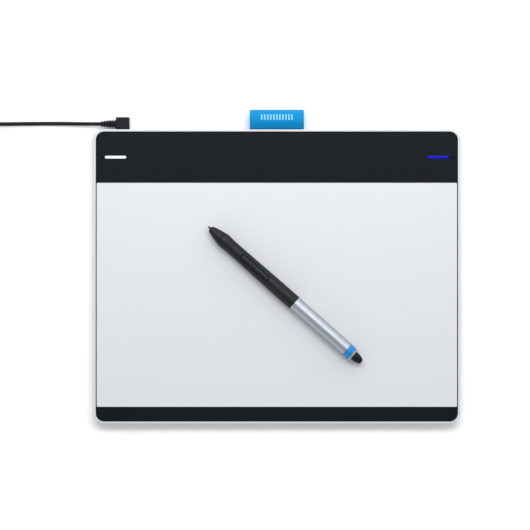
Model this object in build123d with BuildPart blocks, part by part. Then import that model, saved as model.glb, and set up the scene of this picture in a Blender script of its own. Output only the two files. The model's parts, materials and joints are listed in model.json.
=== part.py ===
"""Pen drawing tablet with its pen, fabric pen loop and plugged-in USB cable, in millimetres.

X runs left to right, Y from the front edge to the rear edge and Z up. The origin lies on the desk,
under the middle of the tablet and its pen loop taken together.
"""
import os
from math import cos, pi, radians, sin, tan

from build123d import *

os.makedirs("parts", exist_ok=True)

# ---------------------------------------------------------------- driving dimensions
# Tablet outline
WIDTH = 278.0
DEPTH = 223.0
TOP_Z = 10.6  # desk to the top of the black bands
CASE_RADIUS = 8.0  # corners seen from above
COVER_WIDTH = 274.1
COVER_DEPTH = 219.5
COVER_RADIUS = 6.3
LOOP_REACH = 15.0  # the pen loop's reach behind the case
CENTRE_Y = -LOOP_REACH / 2

# White bottom case
FOOT_PROUD = 1.0
FLOOR = 1.6
RIM_TOP_Z = 10.2
BELLY_RADIUS = 3.5
RIM_RADIUS = 1.0
FIT_GAP = 0.1

# Black top cover and the sheet let into it
PLATE = 1.6
REAR_BAND = 38.8
FRONT_BAND = 11.05
SIDE_LIP = 0.6
SHEET = 0.6
SHEET_SINK = 0.1
COVER_EDGE_RADIUS = 0.5
SKIRT = 1.4
SKIRT_DROP = 0.8

# Corner keys and lit marks
KEY_LENGTH = 43.0
KEY_LIP = 0.7  # black strip left between the front keys and the sheet
KEY_GAP = 0.2
SLIT = 0.5
SLIT_FROM_REAR = 19.4
MARK_LENGTH = 16.2
MARK_WIDTH = 2.1
MARK_FROM_SIDE = 6.8
MARK_DEEP = 1.2
MARK_CLEAR = 0.15
GUIDE_LEG = 1.2
GUIDE_LEG_DEPTH = 1.1
POST_FROM_SIDE = 14.0
POST_RADIUS = 1.6
POST_LOW_Z = 7.0
SWITCH_SIDE = 4.5  # the tact switches under the keys
SWITCH_HEIGHT = 1.4
SWITCH_STEM_RADIUS = 1.1

# Boards
BOARD_LOW_Z = 3.6
BOARD = 1.1
BOARD_CORNER = 1.5
BOARD_MIDDLE_Y = 91.0
BOARD_DEPTH = 35.0
MAIN_BOARD_X, MAIN_BOARD_WIDTH = -96.5, 72.0
KEY_BOARD_X, KEY_BOARD_WIDTH = 115.5, 36.0
CHIP_HEIGHT = 1.0
BIG_CHIP_SIDE = 9.0
BIG_CHIPS = ((-1.5, -4.0), (12.5, 6.0))  # from the main board's middle
SMALL_CHIP_WIDTH, SMALL_CHIP_DEPTH = 4.0, 3.0
SMALL_CHIPS = ((22.5, -8.0), (-1.5, 8.0), (26.5, 8.0))
LED_HEIGHT = 0.7
LED_WIDTH, LED_DEPTH = 1.6, 1.2
KEY_POST_GAP = 0.5  # room for the post at the key's full travel
FLEX = 0.2
DIGITIZER_FLEX_X, DIGITIZER_FLEX_WIDTH = -68.0, 12.0
KEY_FLEX_WIDTH = 8.0

# Sensing stack under the cover's panel
STACK_GAP = 0.05
TOUCH_FILM = 0.3
DIGITIZER = 0.8
SHIELD = 0.3
STACK_WIDTH = 259.0
STACK_DEPTH = 167.0
RIB = 1.2
RIBS = 5
SHEET_CORNER = 1.0

# Case screws
BOSS_RADIUS = 3.2
COVER_BOSS_RADIUS = 2.6
BOSS_MEET_Z = 6.0
SCREW_RADIUS = 1.0
SCREW_HEAD_RADIUS = 2.1
SCREW_HEAD = 1.3
SCREW_SINK = 0.4
SCREW_TOP_Z = 8.4
CROSS_LENGTH = 2.6
CROSS_WIDTH = 0.6

# Feet
FOOT_LENGTH = 26.0
FOOT_WIDTH = 7.0
FOOT_SINK = 0.5
FOOT_EDGE_RADIUS = 0.3
FOOT_X = 113.0
FOOT_Y = 98.0

# Underside compartment
BAY_HALF_X = 42.0
BAY_FRONT_Y = 74.5
BAY_DEPTH = 23.0
BAY_TOP_Z = 7.8
BAY_WALL = 1.5
DOOR_LEDGE = 2.5
DOOR = 1.3
DOOR_GAP = 0.3
DOOR_FLUSH = 0.05
DOOR_ROUND = 0.49 * DOOR
FINGER_NOTCH_RADIUS = 5.0
FINGER_NOTCH = 0.6

# What the compartment holds
NIB_PITCH = 4.0
NIB_LAYER = 1.5  # the spare nibs' middle line, below the compartment's ceiling
HOLDER_X = -30.0
HOLDER_LENGTH, HOLDER_WIDTH = 6.0, 13.0
SPARE_NIB_X = -41.0
SPARE_NIB_LENGTH = 22.0
PULLER_X = -11.0
PULLER_RADIUS, PULLER_BORE_RADIUS, PULLER_HEIGHT, PULLER_EDGE_RADIUS = 5.0, 3.2, 2.0, 0.4
MODULE_PLUG_WIDTH, MODULE_PLUG_DEPTH, MODULE_PLUG_LOW_Z = 4.0, 12.0, 3.6
MODULE_SLOT_WIDTH, MODULE_SLOT_HEIGHT, MODULE_SLOT_Z, MODULE_SLOT_DEEP = 9.0, 1.2, 5.6, 2.5

# Pen loop
LOOP_WIDTH = 41.0
LOOP_CLOTH = 1.0
LOOP_HALF_Y = 6.9
LOOP_HALF_Z = 6.7
LOOP_Z = 6.75
LOOP_SLOT_SPARE = 0.8
NECK_INSIDE = 7.0  # how far the loop's neck runs in from the rear edge
ANCHOR_OVERHANG = 3.0
ANCHOR_DEPTH = 4.0

# Touch on/off switch in the rear edge
KNOB_X = 112.0
KNOB_WIDTH = 4.5
KNOB_HEIGHT = 2.0
KNOB_TRAVEL = 2.5
KNOB_SINK = 0.2
KNOB_CORNER = 0.5
KNOB_DEEP = 2.2
KNOB_TAB_WIDTH, KNOB_TAB_HEIGHT, KNOB_TAB_LENGTH = 1.6, 1.0, 1.2
TOUCH_SWITCH_WIDTH, TOUCH_SWITCH_DEPTH, TOUCH_SWITCH_HEIGHT = 9.5, 4.0, 2.6
TOUCH_SWITCH_Y = 4.8  # its middle, in from the rear edge

# USB socket, plug and cable
SOCKET_WIDTH = 7.6
SOCKET_HEIGHT = 2.6
SOCKET_DEPTH = 6.0
SOCKET_WALL = 0.25
SOCKET_CORNER = 0.6
SOCKET_TONGUE_WIDTH, SOCKET_TONGUE = 4.0, 0.5
SOCKET_TONGUE_SINK = 1.0
PORT_SPARE = 1.0
PORT_X = -116.8
PORT_Z = 6.0
PLUG_WIDTH = 10.2
PLUG_DEPTH = 9.2
PLUG_HEIGHT = 7.6
PLUG_STANDOFF = 0.2
PLUG_CORNER = 1.0
PLUG_EDGE_RADIUS = 0.8
PLUG_FIT = 0.2
CORD_DIAMETER = 2.8
CORD_BEHIND = 4.2  # the cable's middle line, behind the case
RELIEF_LENGTH = 12.0
RELIEF_BIG = 5.8
RELIEF_SMALL = 4.0
RELIEF_RINGS = 5
RELIEF_GROOVE = 0.8
COIL_X = -236.0
COIL_TURNS_ACROSS = 4
COIL_TURNS_HIGH = 4
COIL_MEAN_RADIUS = 15.5
TIE = 0.7
TIE_WIDTH = 6.0

# Computer plug
A_PLUG_Z = 4.2
A_NECK = 8.0
A_BODY, A_BODY_WIDTH, A_BODY_HEIGHT, A_BODY_CORNER = 20.0, 16.0, 8.0, 2.0
A_BODY_EDGE_RADIUS = 0.8
A_SHELL, A_SHELL_WIDTH, A_SHELL_HEIGHT, A_SHELL_WALL = 12.0, 12.0, 4.5, 0.3
A_TONGUE, A_TONGUE_WIDTH, A_TONGUE_BELOW, A_TONGUE_SINK = 1.9, 11.2, 0.9, 0.6

# Pen, measured along its axis from the tip of the nib
NIB_RADIUS = 0.9
PEN_TIP_X = -52.1
PEN_TIP_Y = 37.9
PEN_ANGLE = -41.5
PEN_REST_GAP = 0.05
NIB_OUT = 2.4
CONE_END = 13.6
GRIP_END = 86.7
BARREL_END = 140.3
RING_END = 145.0
CAP_END = 146.9
ERASER_END = 154.8
GRIP_MAX_RADIUS = 5.65
PEN_BORE = 4.15
SWITCH_START = 33.3
SWITCH_LENGTH = 28.0
SWITCH_WIDTH = 4.8
SWITCH_GROOVE = 0.4
ROCKER_LOW = 3.4
ROCKER_TOP_RADIUS = 5.75
ROCKER_FOOT_LOW = 2.25
ROCKER_FOOT_RADIUS = 1.0
ROCKER_EDGE_RADIUS = 0.3
DOME_SPREAD = 9.0
DOME_RADIUS, DOME_HEIGHT = 1.7, 0.8
NIB_BORE = 1.15
BARREL_START_RADIUS, BARREL_END_RADIUS = 5.5, 5.35
RING_RADIUS = 5.2
CAP_POINTS = [(0.0, 5.15), (0.9, 5.0), (CAP_END - RING_END, 4.4)]
NIB_LENGTH = 30.0
NIB_TAPER = 3.2
NIB_TIP_RADIUS = 0.5
ERASER_RADIUS = 3.4
ERASER_STEM_RADIUS = 1.0
ERASER_STEM_START = 137.0
ERASER_HEAD_START = 143.6
ERASER_CLEAR = 0.3
FERRITE_START, FERRITE_END, FERRITE_RADIUS = 13.0, 23.2, 2.8
WINDING_START, WINDING_END, WINDING_RADIUS = 14.0, 22.0, 3.5
SENSOR_RADIUS = 3.8
SENSOR_START, SENSOR_LENGTH = 23.8, 9.0
ERASER_SENSOR_START, ERASER_SENSOR_LENGTH = 128.0, 14.5
PEN_BOARD_TOP, PEN_BOARD, PEN_BOARD_MIDDLE = 1.0, 0.8, 82.0
PEN_BOARD_LENGTH, PEN_BOARD_WIDTH = 88.0, 6.0
CHASSIS_START, CHASSIS_LENGTH, CHASSIS_BORE_RADIUS, CHASSIS_FIT = 37.5, 90.0, 3.3, 0.1

# ---------------------------------------------------------------- worked out from them
CASE_REAR_Y = DEPTH / 2
COVER_HALF_X = COVER_WIDTH / 2
COVER_HALF_Y = COVER_DEPTH / 2
FLOOR_TOP_Z = FOOT_PROUD + FLOOR
WALL_CUT = 2.5 * FLOOR
KEY_ROOM = 2.0  # the keys' cut-outs run this far past the cover's edge
PLATE_LOW_Z = TOP_Z - PLATE
SHEET_TOP_Z = TOP_Z - SHEET_SINK
RECESS_Z = SHEET_TOP_Z - SHEET
TOUCH_LOW_Z = PLATE_LOW_Z - STACK_GAP - TOUCH_FILM
DIGITIZER_LOW_Z = TOUCH_LOW_Z - STACK_GAP - DIGITIZER
SHIELD_LOW_Z = DIGITIZER_LOW_Z - STACK_GAP - SHIELD
BAND_FRONT_Y = COVER_HALF_Y - REAR_BAND
SHEET_FRONT_Y = FRONT_BAND - COVER_HALF_Y
SHEET_MIDDLE_Y = (BAND_FRONT_Y + SHEET_FRONT_Y) / 2
SHEET_WIDTH = COVER_WIDTH - 2 * SIDE_LIP
SHEET_DEPTH = BAND_FRONT_Y - SHEET_FRONT_Y
KEY_FRONT_Y = BAND_FRONT_Y + KEY_LIP
KEY_HINGE_X = COVER_HALF_X - KEY_LENGTH
SLIT_Y = COVER_HALF_Y - SLIT_FROM_REAR
MARK_X = COVER_HALF_X - MARK_FROM_SIDE - MARK_LENGTH / 2
POST_X = COVER_HALF_X - POST_FROM_SIDE
BOARD_TOP_Z = BOARD_LOW_Z + BOARD
BAY_MIDDLE_Y = BAY_FRONT_Y + BAY_DEPTH / 2
DOOR_WIDTH = 2 * (BAY_HALF_X + DOOR_LEDGE)
DOOR_DEPTH = BAY_DEPTH + 2 * DOOR_LEDGE
DOOR_LOW_Z = FOOT_PROUD + DOOR_FLUSH
SCREW_SPOTS = [(side * x, y) for side in (-1, 1) for x, y in ((132.6, -104), (50, -104), (132.6, -12),
                                                              (132.6, 60), (50.5, 105))]
CORD_RADIUS = CORD_DIAMETER / 2
PLUG_LEFT_X = PORT_X - PLUG_WIDTH / 2
CORD_EXIT_X = PLUG_LEFT_X - RELIEF_LENGTH
CORD_Y = CENTRE_Y + CASE_REAR_Y + CORD_BEHIND
COIL_OUTER = COIL_MEAN_RADIUS + COIL_TURNS_ACROSS * CORD_RADIUS
COIL_INNER = COIL_MEAN_RADIUS - COIL_TURNS_ACROSS * CORD_RADIUS
COIL_HEIGHT = COIL_TURNS_HIGH * CORD_DIAMETER
COIL_Y = CORD_Y - (COIL_OUTER - CORD_RADIUS)
PEN_DIRECTION = Vector(cos(radians(PEN_ANGLE)), sin(radians(PEN_ANGLE)), 0)
PEN_SIDE = PEN_DIRECTION.cross(Vector(0, 0, 1))
PEN_TIP = Vector(PEN_TIP_X, PEN_TIP_Y + CENTRE_Y, SHEET_TOP_Z + PEN_REST_GAP + GRIP_MAX_RADIUS)
PEN_AXIS = Axis(PEN_TIP, PEN_DIRECTION)
PEN_PROFILE = Plane(origin=PEN_TIP, x_dir=PEN_DIRECTION, z_dir=PEN_SIDE)


def save(shape, name):
    """Label a finished piece and write it."""
    shape.label = name
    export_step(shape, f"parts/{name}.step")


def level(z, y=0.0, x=0.0):
    """A level plane, with x and y counted from the middle of the tablet."""
    return Plane(origin=(x, y + CENTRE_Y, z))


def rear_wall(x, z, y=CASE_REAR_Y):
    """An upright plane that looks forward from the rear edge: extruding goes towards the front."""
    return Plane(origin=(x, y + CENTRE_Y, z), x_dir=(1, 0, 0), z_dir=(0, -1, 0))


def across(x=0.0):
    """An upright plane across the tablet: its x is +Y and its y is +Z, from the desk's middle line."""
    return Plane(origin=(x, CENTRE_Y, 0), x_dir=(0, 1, 0), z_dir=(1, 0, 0))


def pen_level(along, up):
    """A level plane whose origin is on the pen: x runs back along the pen."""
    return Plane(origin=PEN_TIP + PEN_DIRECTION * along + Vector(0, 0, up), x_dir=PEN_DIRECTION,
                 z_dir=(0, 0, 1))


def pen_section(along):
    """A plane square to the pen, looking back along it."""
    return Plane(origin=PEN_TIP + PEN_DIRECTION * along, x_dir=PEN_SIDE, z_dir=PEN_DIRECTION)


# ================================================================ tablet: shells
with BuildPart() as case_cavity:
    with BuildSketch(level(FLOOR_TOP_Z)):
        RectangleRounded(COVER_WIDTH + 2 * FIT_GAP, COVER_DEPTH + 2 * FIT_GAP, COVER_RADIUS + FIT_GAP)
    extrude(amount=TOP_Z)
    fillet(case_cavity.faces().sort_by(Axis.Z)[0].edges(), BELLY_RADIUS - FLOOR)

with BuildPart() as bottom_case:
    with BuildSketch(level(FOOT_PROUD)):
        RectangleRounded(WIDTH, DEPTH, CASE_RADIUS)
    extrude(amount=RIM_TOP_Z - FOOT_PROUD)
    fillet(bottom_case.faces().sort_by(Axis.Z)[0].edges(), BELLY_RADIUS)
    fillet(bottom_case.faces().sort_by(Axis.Z)[-1].edges(), RIM_RADIUS)
    add(case_cavity.part, mode=Mode.SUBTRACT)
    # Ribs that carry the sensing stack
    with BuildSketch(level(FLOOR_TOP_Z - FLOOR / 2, SHEET_MIDDLE_Y)):
        with GridLocations(STACK_WIDTH / RIBS, 0, RIBS, 1):
            Rectangle(RIB, STACK_DEPTH - 2 * BOSS_RADIUS)
    extrude(amount=SHIELD_LOW_Z - STACK_GAP - FLOOR_TOP_Z + FLOOR / 2)
    # Screw bosses
    with BuildSketch(level(FLOOR_TOP_Z - FLOOR / 2)):
        with Locations(*SCREW_SPOTS):
            Circle(BOSS_RADIUS)
    extrude(amount=BOSS_MEET_Z - STACK_GAP - FLOOR_TOP_Z + FLOOR / 2)
    # Underside compartment: walls and ceiling, then the hollow and the cover's seat
    with BuildSketch(level(FOOT_PROUD, BAY_MIDDLE_Y)):
        Rectangle(DOOR_WIDTH + 2 * BAY_WALL, DOOR_DEPTH + 2 * BAY_WALL)
    extrude(amount=BAY_TOP_Z + FLOOR / 2 - FOOT_PROUD)
    with BuildSketch(level(FOOT_PROUD, BAY_MIDDLE_Y)):
        Rectangle(2 * BAY_HALF_X, BAY_DEPTH)
    extrude(amount=BAY_TOP_Z - FOOT_PROUD, mode=Mode.SUBTRACT)
    with BuildSketch(level(FOOT_PROUD, BAY_MIDDLE_Y)):
        Rectangle(DOOR_WIDTH, DOOR_DEPTH)
    extrude(amount=DOOR + DOOR_GAP / 2, mode=Mode.SUBTRACT)
    # Screw holes with sunk heads
    with BuildSketch(level(FOOT_PROUD)):
        with Locations(*SCREW_SPOTS):
            Circle(SCREW_RADIUS + FIT_GAP)
    extrude(amount=TOP_Z, mode=Mode.SUBTRACT)
    with BuildSketch(level(FOOT_PROUD)):
        with Locations(*SCREW_SPOTS):
            Circle(SCREW_HEAD_RADIUS + FIT_GAP)
    extrude(amount=SCREW_SINK + SCREW_HEAD, mode=Mode.SUBTRACT)
    # Seats for the feet
    with BuildSketch(level(FOOT_PROUD)):
        with GridLocations(2 * FOOT_X, 2 * FOOT_Y, 2, 2):
            SlotOverall(FOOT_LENGTH + 2 * FIT_GAP, FOOT_WIDTH + 2 * FIT_GAP)
    extrude(amount=FOOT_SINK, mode=Mode.SUBTRACT)
    # Openings in the rear wall: USB, pen loop, touch switch
    with BuildSketch(rear_wall(PORT_X, PORT_Z, CASE_REAR_Y + FLOOR)):
        RectangleRounded(SOCKET_WIDTH + PORT_SPARE, SOCKET_HEIGHT + PORT_SPARE, SOCKET_CORNER + FIT_GAP)
    extrude(amount=WALL_CUT, mode=Mode.SUBTRACT)
    with BuildSketch(rear_wall(0, LOOP_Z, CASE_REAR_Y + FLOOR)):
        Rectangle(LOOP_WIDTH + LOOP_SLOT_SPARE, 2 * LOOP_CLOTH + LOOP_SLOT_SPARE)
    extrude(amount=WALL_CUT, mode=Mode.SUBTRACT)
    with BuildSketch(rear_wall(KNOB_X, PORT_Z, CASE_REAR_Y + FLOOR)):
        RectangleRounded(KNOB_WIDTH + KNOB_TRAVEL + PORT_SPARE, KNOB_HEIGHT + PORT_SPARE / 2, KNOB_CORNER)
    extrude(amount=WALL_CUT, mode=Mode.SUBTRACT)
save(bottom_case.part, "bottom_case")


with BuildPart() as top_cover:
    with BuildSketch(level(PLATE_LOW_Z)):
        RectangleRounded(COVER_WIDTH, COVER_DEPTH, COVER_RADIUS)
    extrude(amount=PLATE)
    fillet(top_cover.faces().sort_by(Axis.Z)[-1].edges(), COVER_EDGE_RADIUS)
    # Skirt that stiffens the edge
    with BuildSketch(level(PLATE_LOW_Z - SKIRT_DROP)):
        RectangleRounded(COVER_WIDTH, COVER_DEPTH, COVER_RADIUS)
        RectangleRounded(COVER_WIDTH - 2 * SKIRT, COVER_DEPTH - 2 * SKIRT, COVER_RADIUS - SKIRT,
                         mode=Mode.SUBTRACT)
    extrude(amount=SKIRT_DROP)
    # Screw bosses
    with BuildSketch(level(BOSS_MEET_Z)):
        with Locations(*SCREW_SPOTS):
            Circle(COVER_BOSS_RADIUS)
            Circle(SCREW_RADIUS + STACK_GAP, mode=Mode.SUBTRACT)
    extrude(amount=PLATE_LOW_Z - BOSS_MEET_Z)
    # Room for the four keys
    with BuildSketch(level(PLATE_LOW_Z - 2 * SKIRT_DROP)):
        for side in (-1, 1):
            with Locations((side * (KEY_HINGE_X + COVER_HALF_X + KEY_ROOM) / 2,
                            (KEY_FRONT_Y + COVER_HALF_Y + KEY_ROOM) / 2)):
                Rectangle(KEY_LENGTH + KEY_ROOM, COVER_HALF_Y - KEY_FRONT_Y + KEY_ROOM)
    extrude(amount=TOP_Z, mode=Mode.SUBTRACT)
    # Shallow recess for the sheet
    with BuildSketch(level(RECESS_Z, SHEET_MIDDLE_Y)):
        RectangleRounded(SHEET_WIDTH, SHEET_DEPTH, SHEET_CORNER)
    extrude(amount=TOP_Z, mode=Mode.SUBTRACT)
save(top_cover.part, "top_cover")

with BuildPart() as drawing_surface:
    with BuildSketch(level(RECESS_Z, SHEET_MIDDLE_Y)):
        RectangleRounded(SHEET_WIDTH - 2 * STACK_GAP, SHEET_DEPTH - 2 * STACK_GAP, SHEET_CORNER - STACK_GAP)
    extrude(amount=SHEET)
save(drawing_surface.part, "drawing_surface")


# ================================================================ tablet: corner keys and lit marks
def express_key(side, row):
    """One corner key: side is -1 left or 1 right, row is -1 front or 1 rear of the slit."""
    outer_y = COVER_HALF_Y if row > 0 else KEY_FRONT_Y + KEY_GAP
    post_y = (SLIT_Y + outer_y) / 2
    with BuildPart() as key:
        with BuildSketch(level(PLATE_LOW_Z)):
            RectangleRounded(COVER_WIDTH - 2 * FIT_GAP, COVER_DEPTH - 2 * FIT_GAP, COVER_RADIUS - FIT_GAP)
            with Locations((side * (COVER_HALF_X + KEY_HINGE_X + KEY_GAP) / 2,
                            (SLIT_Y + row * KEY_GAP / 2 + outer_y) / 2)):
                Rectangle(KEY_LENGTH - KEY_GAP, abs(outer_y - SLIT_Y) - KEY_GAP / 2, mode=Mode.INTERSECT)
            with Locations((side * MARK_X, SLIT_Y)):
                SlotOverall(MARK_LENGTH + 2 * MARK_CLEAR, MARK_WIDTH + 2 * MARK_CLEAR, mode=Mode.SUBTRACT)
            with Locations((side * (MARK_X + COVER_HALF_X) / 2, SLIT_Y)):
                Rectangle(COVER_HALF_X - MARK_X, SLIT, mode=Mode.SUBTRACT)
        extrude(amount=PLATE)
        with BuildSketch(level(POST_LOW_Z)):
            with Locations((side * POST_X, post_y)):
                Circle(POST_RADIUS)
        extrude(amount=PLATE_LOW_Z - POST_LOW_Z)
    return key.part


KEY_NAMES = {(-1, 1): "left_rear", (-1, -1): "left_front", (1, 1): "right_rear", (1, -1): "right_front"}
for (key_side, key_row), key_name in KEY_NAMES.items():
    save(express_key(key_side, key_row), f"express_key_{key_name}")


def light_guide(side):
    """A lit mark: a pill-shaped plate on two legs and a stem over its lamp."""
    with BuildPart() as guide:
        with BuildSketch(level(TOP_Z - MARK_DEEP, SLIT_Y, side * MARK_X)):
            SlotOverall(MARK_LENGTH, MARK_WIDTH)
        extrude(amount=MARK_DEEP)
        with BuildSketch(level(BOARD_TOP_Z, SLIT_Y, side * MARK_X)):
            with GridLocations(MARK_LENGTH - 2 * MARK_WIDTH, 0, 2, 1):
                Rectangle(GUIDE_LEG, GUIDE_LEG_DEPTH)
        extrude(amount=TOP_Z - MARK_DEEP - BOARD_TOP_Z)
        with BuildSketch(level(BOARD_TOP_Z + LED_HEIGHT + STACK_GAP, SLIT_Y, side * MARK_X)):
            Rectangle(2 * GUIDE_LEG, GUIDE_LEG_DEPTH)
        extrude(amount=TOP_Z - MARK_DEEP - BOARD_TOP_Z - LED_HEIGHT - STACK_GAP)
    return guide.part


save(light_guide(-1), "light_guide_left")
save(light_guide(1), "light_guide_right")

with BuildPart() as status_leds:
    with BuildSketch(level(BOARD_TOP_Z, SLIT_Y)):
        with GridLocations(2 * MARK_X, 0, 2, 1):
            Rectangle(LED_WIDTH, LED_DEPTH)
    extrude(amount=LED_HEIGHT)
save(status_leds.part, "status_leds")

KEY_POST_YS = [(SLIT_Y + COVER_HALF_Y) / 2, (SLIT_Y + KEY_FRONT_Y + KEY_GAP) / 2]
SWITCH_SPOTS = [(side * POST_X, y) for side in (-1, 1) for y in KEY_POST_YS]
with BuildPart() as key_switches:
    with BuildSketch(level(BOARD_TOP_Z)):
        with Locations(*SWITCH_SPOTS):
            Rectangle(SWITCH_SIDE, SWITCH_SIDE)
    extrude(amount=SWITCH_HEIGHT)
    with BuildSketch(level(BOARD_TOP_Z + SWITCH_HEIGHT)):
        with Locations(*SWITCH_SPOTS):
            Circle(SWITCH_STEM_RADIUS)
    extrude(amount=POST_LOW_Z - KEY_POST_GAP - BOARD_TOP_Z - SWITCH_HEIGHT)
save(key_switches.part, "key_switches")

# ================================================================ tablet: electronics
STACK = (("touch_sensor", TOUCH_LOW_Z, TOUCH_FILM), ("digitizer_board", DIGITIZER_LOW_Z, DIGITIZER),
         ("shield_plate", SHIELD_LOW_Z, SHIELD))
for layer_name, layer_low_z, layer_thickness in STACK:
    with BuildPart() as layer:
        with BuildSketch(level(layer_low_z, SHEET_MIDDLE_Y)):
            RectangleRounded(STACK_WIDTH, STACK_DEPTH, BOARD_CORNER)
        extrude(amount=layer_thickness)
    save(layer.part, layer_name)

BOARDS = (("main_board", MAIN_BOARD_X, MAIN_BOARD_WIDTH), ("key_board", KEY_BOARD_X, KEY_BOARD_WIDTH))
for board_name, board_x, board_width in BOARDS:
    with BuildPart() as board:
        with BuildSketch(level(BOARD_LOW_Z, BOARD_MIDDLE_Y, board_x)):
            RectangleRounded(board_width, BOARD_DEPTH, BOARD_CORNER)
        extrude(amount=BOARD)
    save(board.part, board_name)

with BuildPart() as board_chips:
    with BuildSketch(level(BOARD_TOP_Z, BOARD_MIDDLE_Y, MAIN_BOARD_X)):
        with Locations(*BIG_CHIPS):
            Rectangle(BIG_CHIP_SIDE, BIG_CHIP_SIDE)
        with Locations(*SMALL_CHIPS):
            Rectangle(SMALL_CHIP_WIDTH, SMALL_CHIP_DEPTH)
    extrude(amount=CHIP_HEIGHT)
save(board_chips.part, "board_chips")


def ribbon(x, width, points):
    """A flat flex cable: a thin strip of the given width that follows points in the Y-Z plane."""
    with BuildPart() as strip:
        with BuildSketch(across(x - width / 2)):
            with BuildLine() as middle:
                Polyline(*points)
            trace(middle.edges(), FLEX)
        extrude(amount=width)
    return strip.part


STACK_REAR_Y = SHEET_MIDDLE_Y + STACK_DEPTH / 2
save(ribbon(DIGITIZER_FLEX_X, DIGITIZER_FLEX_WIDTH,
            [(STACK_REAR_Y + FLEX, DIGITIZER_LOW_Z + FLEX), (71.5, DIGITIZER_LOW_Z + FLEX),
             (72.5, BOARD_TOP_Z + FLEX), (77.0, BOARD_TOP_Z + FLEX)]), "digitizer_flex")

with BuildPart() as key_flex:
    with BuildSketch(Plane(origin=(0, CENTRE_Y + SLIT_Y, 0), x_dir=(1, 0, 0), z_dir=(0, -1, 0))):
        with BuildLine() as key_flex_line:
            Polyline((-66, BOARD_TOP_Z + FLEX), (-58, BOARD_TOP_Z + FLEX), (-52, PLATE_LOW_Z - FLEX),
                     (52, PLATE_LOW_Z - FLEX), (58, BOARD_TOP_Z + FLEX), (104, BOARD_TOP_Z + FLEX))
        trace(key_flex_line.edges(), FLEX)
    extrude(amount=KEY_FLEX_WIDTH / 2, both=True)
save(key_flex.part, "key_flex")

with BuildPart() as usb_socket:
    with BuildSketch(rear_wall(PORT_X, PORT_Z, COVER_HALF_Y)):
        RectangleRounded(SOCKET_WIDTH, SOCKET_HEIGHT, SOCKET_CORNER)
    extrude(amount=SOCKET_DEPTH)
    with BuildSketch(rear_wall(PORT_X, PORT_Z, COVER_HALF_Y)):
        RectangleRounded(SOCKET_WIDTH - 2 * SOCKET_WALL, SOCKET_HEIGHT - 2 * SOCKET_WALL,
                         SOCKET_CORNER - SOCKET_WALL)
    extrude(amount=SOCKET_DEPTH - SOCKET_WALL, mode=Mode.SUBTRACT)
save(usb_socket.part, "usb_socket")

with BuildPart() as usb_socket_tongue:
    with BuildSketch(rear_wall(PORT_X, PORT_Z, COVER_HALF_Y - SOCKET_TONGUE_SINK)):
        Rectangle(SOCKET_TONGUE_WIDTH, SOCKET_TONGUE)
    extrude(amount=SOCKET_DEPTH - SOCKET_WALL - SOCKET_TONGUE_SINK)
save(usb_socket_tongue.part, "usb_socket_tongue")

with BuildPart() as touch_switch_knob:
    with BuildSketch(rear_wall(KNOB_X - KNOB_TRAVEL / 2, PORT_Z, CASE_REAR_Y - KNOB_SINK)):
        RectangleRounded(KNOB_WIDTH, KNOB_HEIGHT, KNOB_CORNER)
    extrude(amount=KNOB_DEEP)
    with BuildSketch(rear_wall(KNOB_X - KNOB_TRAVEL / 2, PORT_Z, CASE_REAR_Y - KNOB_SINK - KNOB_DEEP)):
        Rectangle(KNOB_TAB_WIDTH, KNOB_TAB_HEIGHT)
    extrude(amount=KNOB_TAB_LENGTH)
save(touch_switch_knob.part, "touch_switch_knob")

with BuildPart() as touch_switch_body:
    with BuildSketch(level(BOARD_TOP_Z, CASE_REAR_Y - TOUCH_SWITCH_Y, KNOB_X)):
        Rectangle(TOUCH_SWITCH_WIDTH, TOUCH_SWITCH_DEPTH)
    extrude(amount=TOUCH_SWITCH_HEIGHT)
    # The slot that the knob's tab slides in
    with BuildSketch(rear_wall(KNOB_X, PORT_Z, CASE_REAR_Y - KNOB_DEEP)):
        Rectangle(2 * KNOB_TAB_WIDTH + KNOB_TRAVEL, 1.6 * KNOB_TAB_HEIGHT)
    extrude(amount=2 * KNOB_TAB_LENGTH, mode=Mode.SUBTRACT)
save(touch_switch_body.part, "touch_switch_body")

# ================================================================ tablet: underside
with BuildPart() as case_screws:
    with BuildSketch(level(FOOT_PROUD + SCREW_SINK)):
        with Locations(*SCREW_SPOTS):
            Circle(SCREW_HEAD_RADIUS)
    extrude(amount=SCREW_HEAD)
    with BuildSketch(level(FOOT_PROUD + SCREW_SINK + SCREW_HEAD)):
        with Locations(*SCREW_SPOTS):
            Circle(SCREW_RADIUS)
    extrude(amount=SCREW_TOP_Z - FOOT_PROUD - SCREW_SINK - SCREW_HEAD)
    with BuildSketch(level(FOOT_PROUD + SCREW_SINK)):
        with Locations(*SCREW_SPOTS):
            Rectangle(CROSS_LENGTH, CROSS_WIDTH)
            Rectangle(CROSS_WIDTH, CROSS_LENGTH)
    extrude(amount=CROSS_WIDTH, mode=Mode.SUBTRACT)
save(case_screws.part, "case_screws")

with BuildPart() as rubber_feet:
    with BuildSketch(level(0)):
        with GridLocations(2 * FOOT_X, 2 * FOOT_Y, 2, 2):
            SlotOverall(FOOT_LENGTH, FOOT_WIDTH)
    extrude(amount=FOOT_PROUD + FOOT_SINK)
    fillet(rubber_feet.faces().filter_by(Plane.XY).group_by(Axis.Z)[0].edges(), FOOT_EDGE_RADIUS)
save(rubber_feet.part, "rubber_feet")

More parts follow.
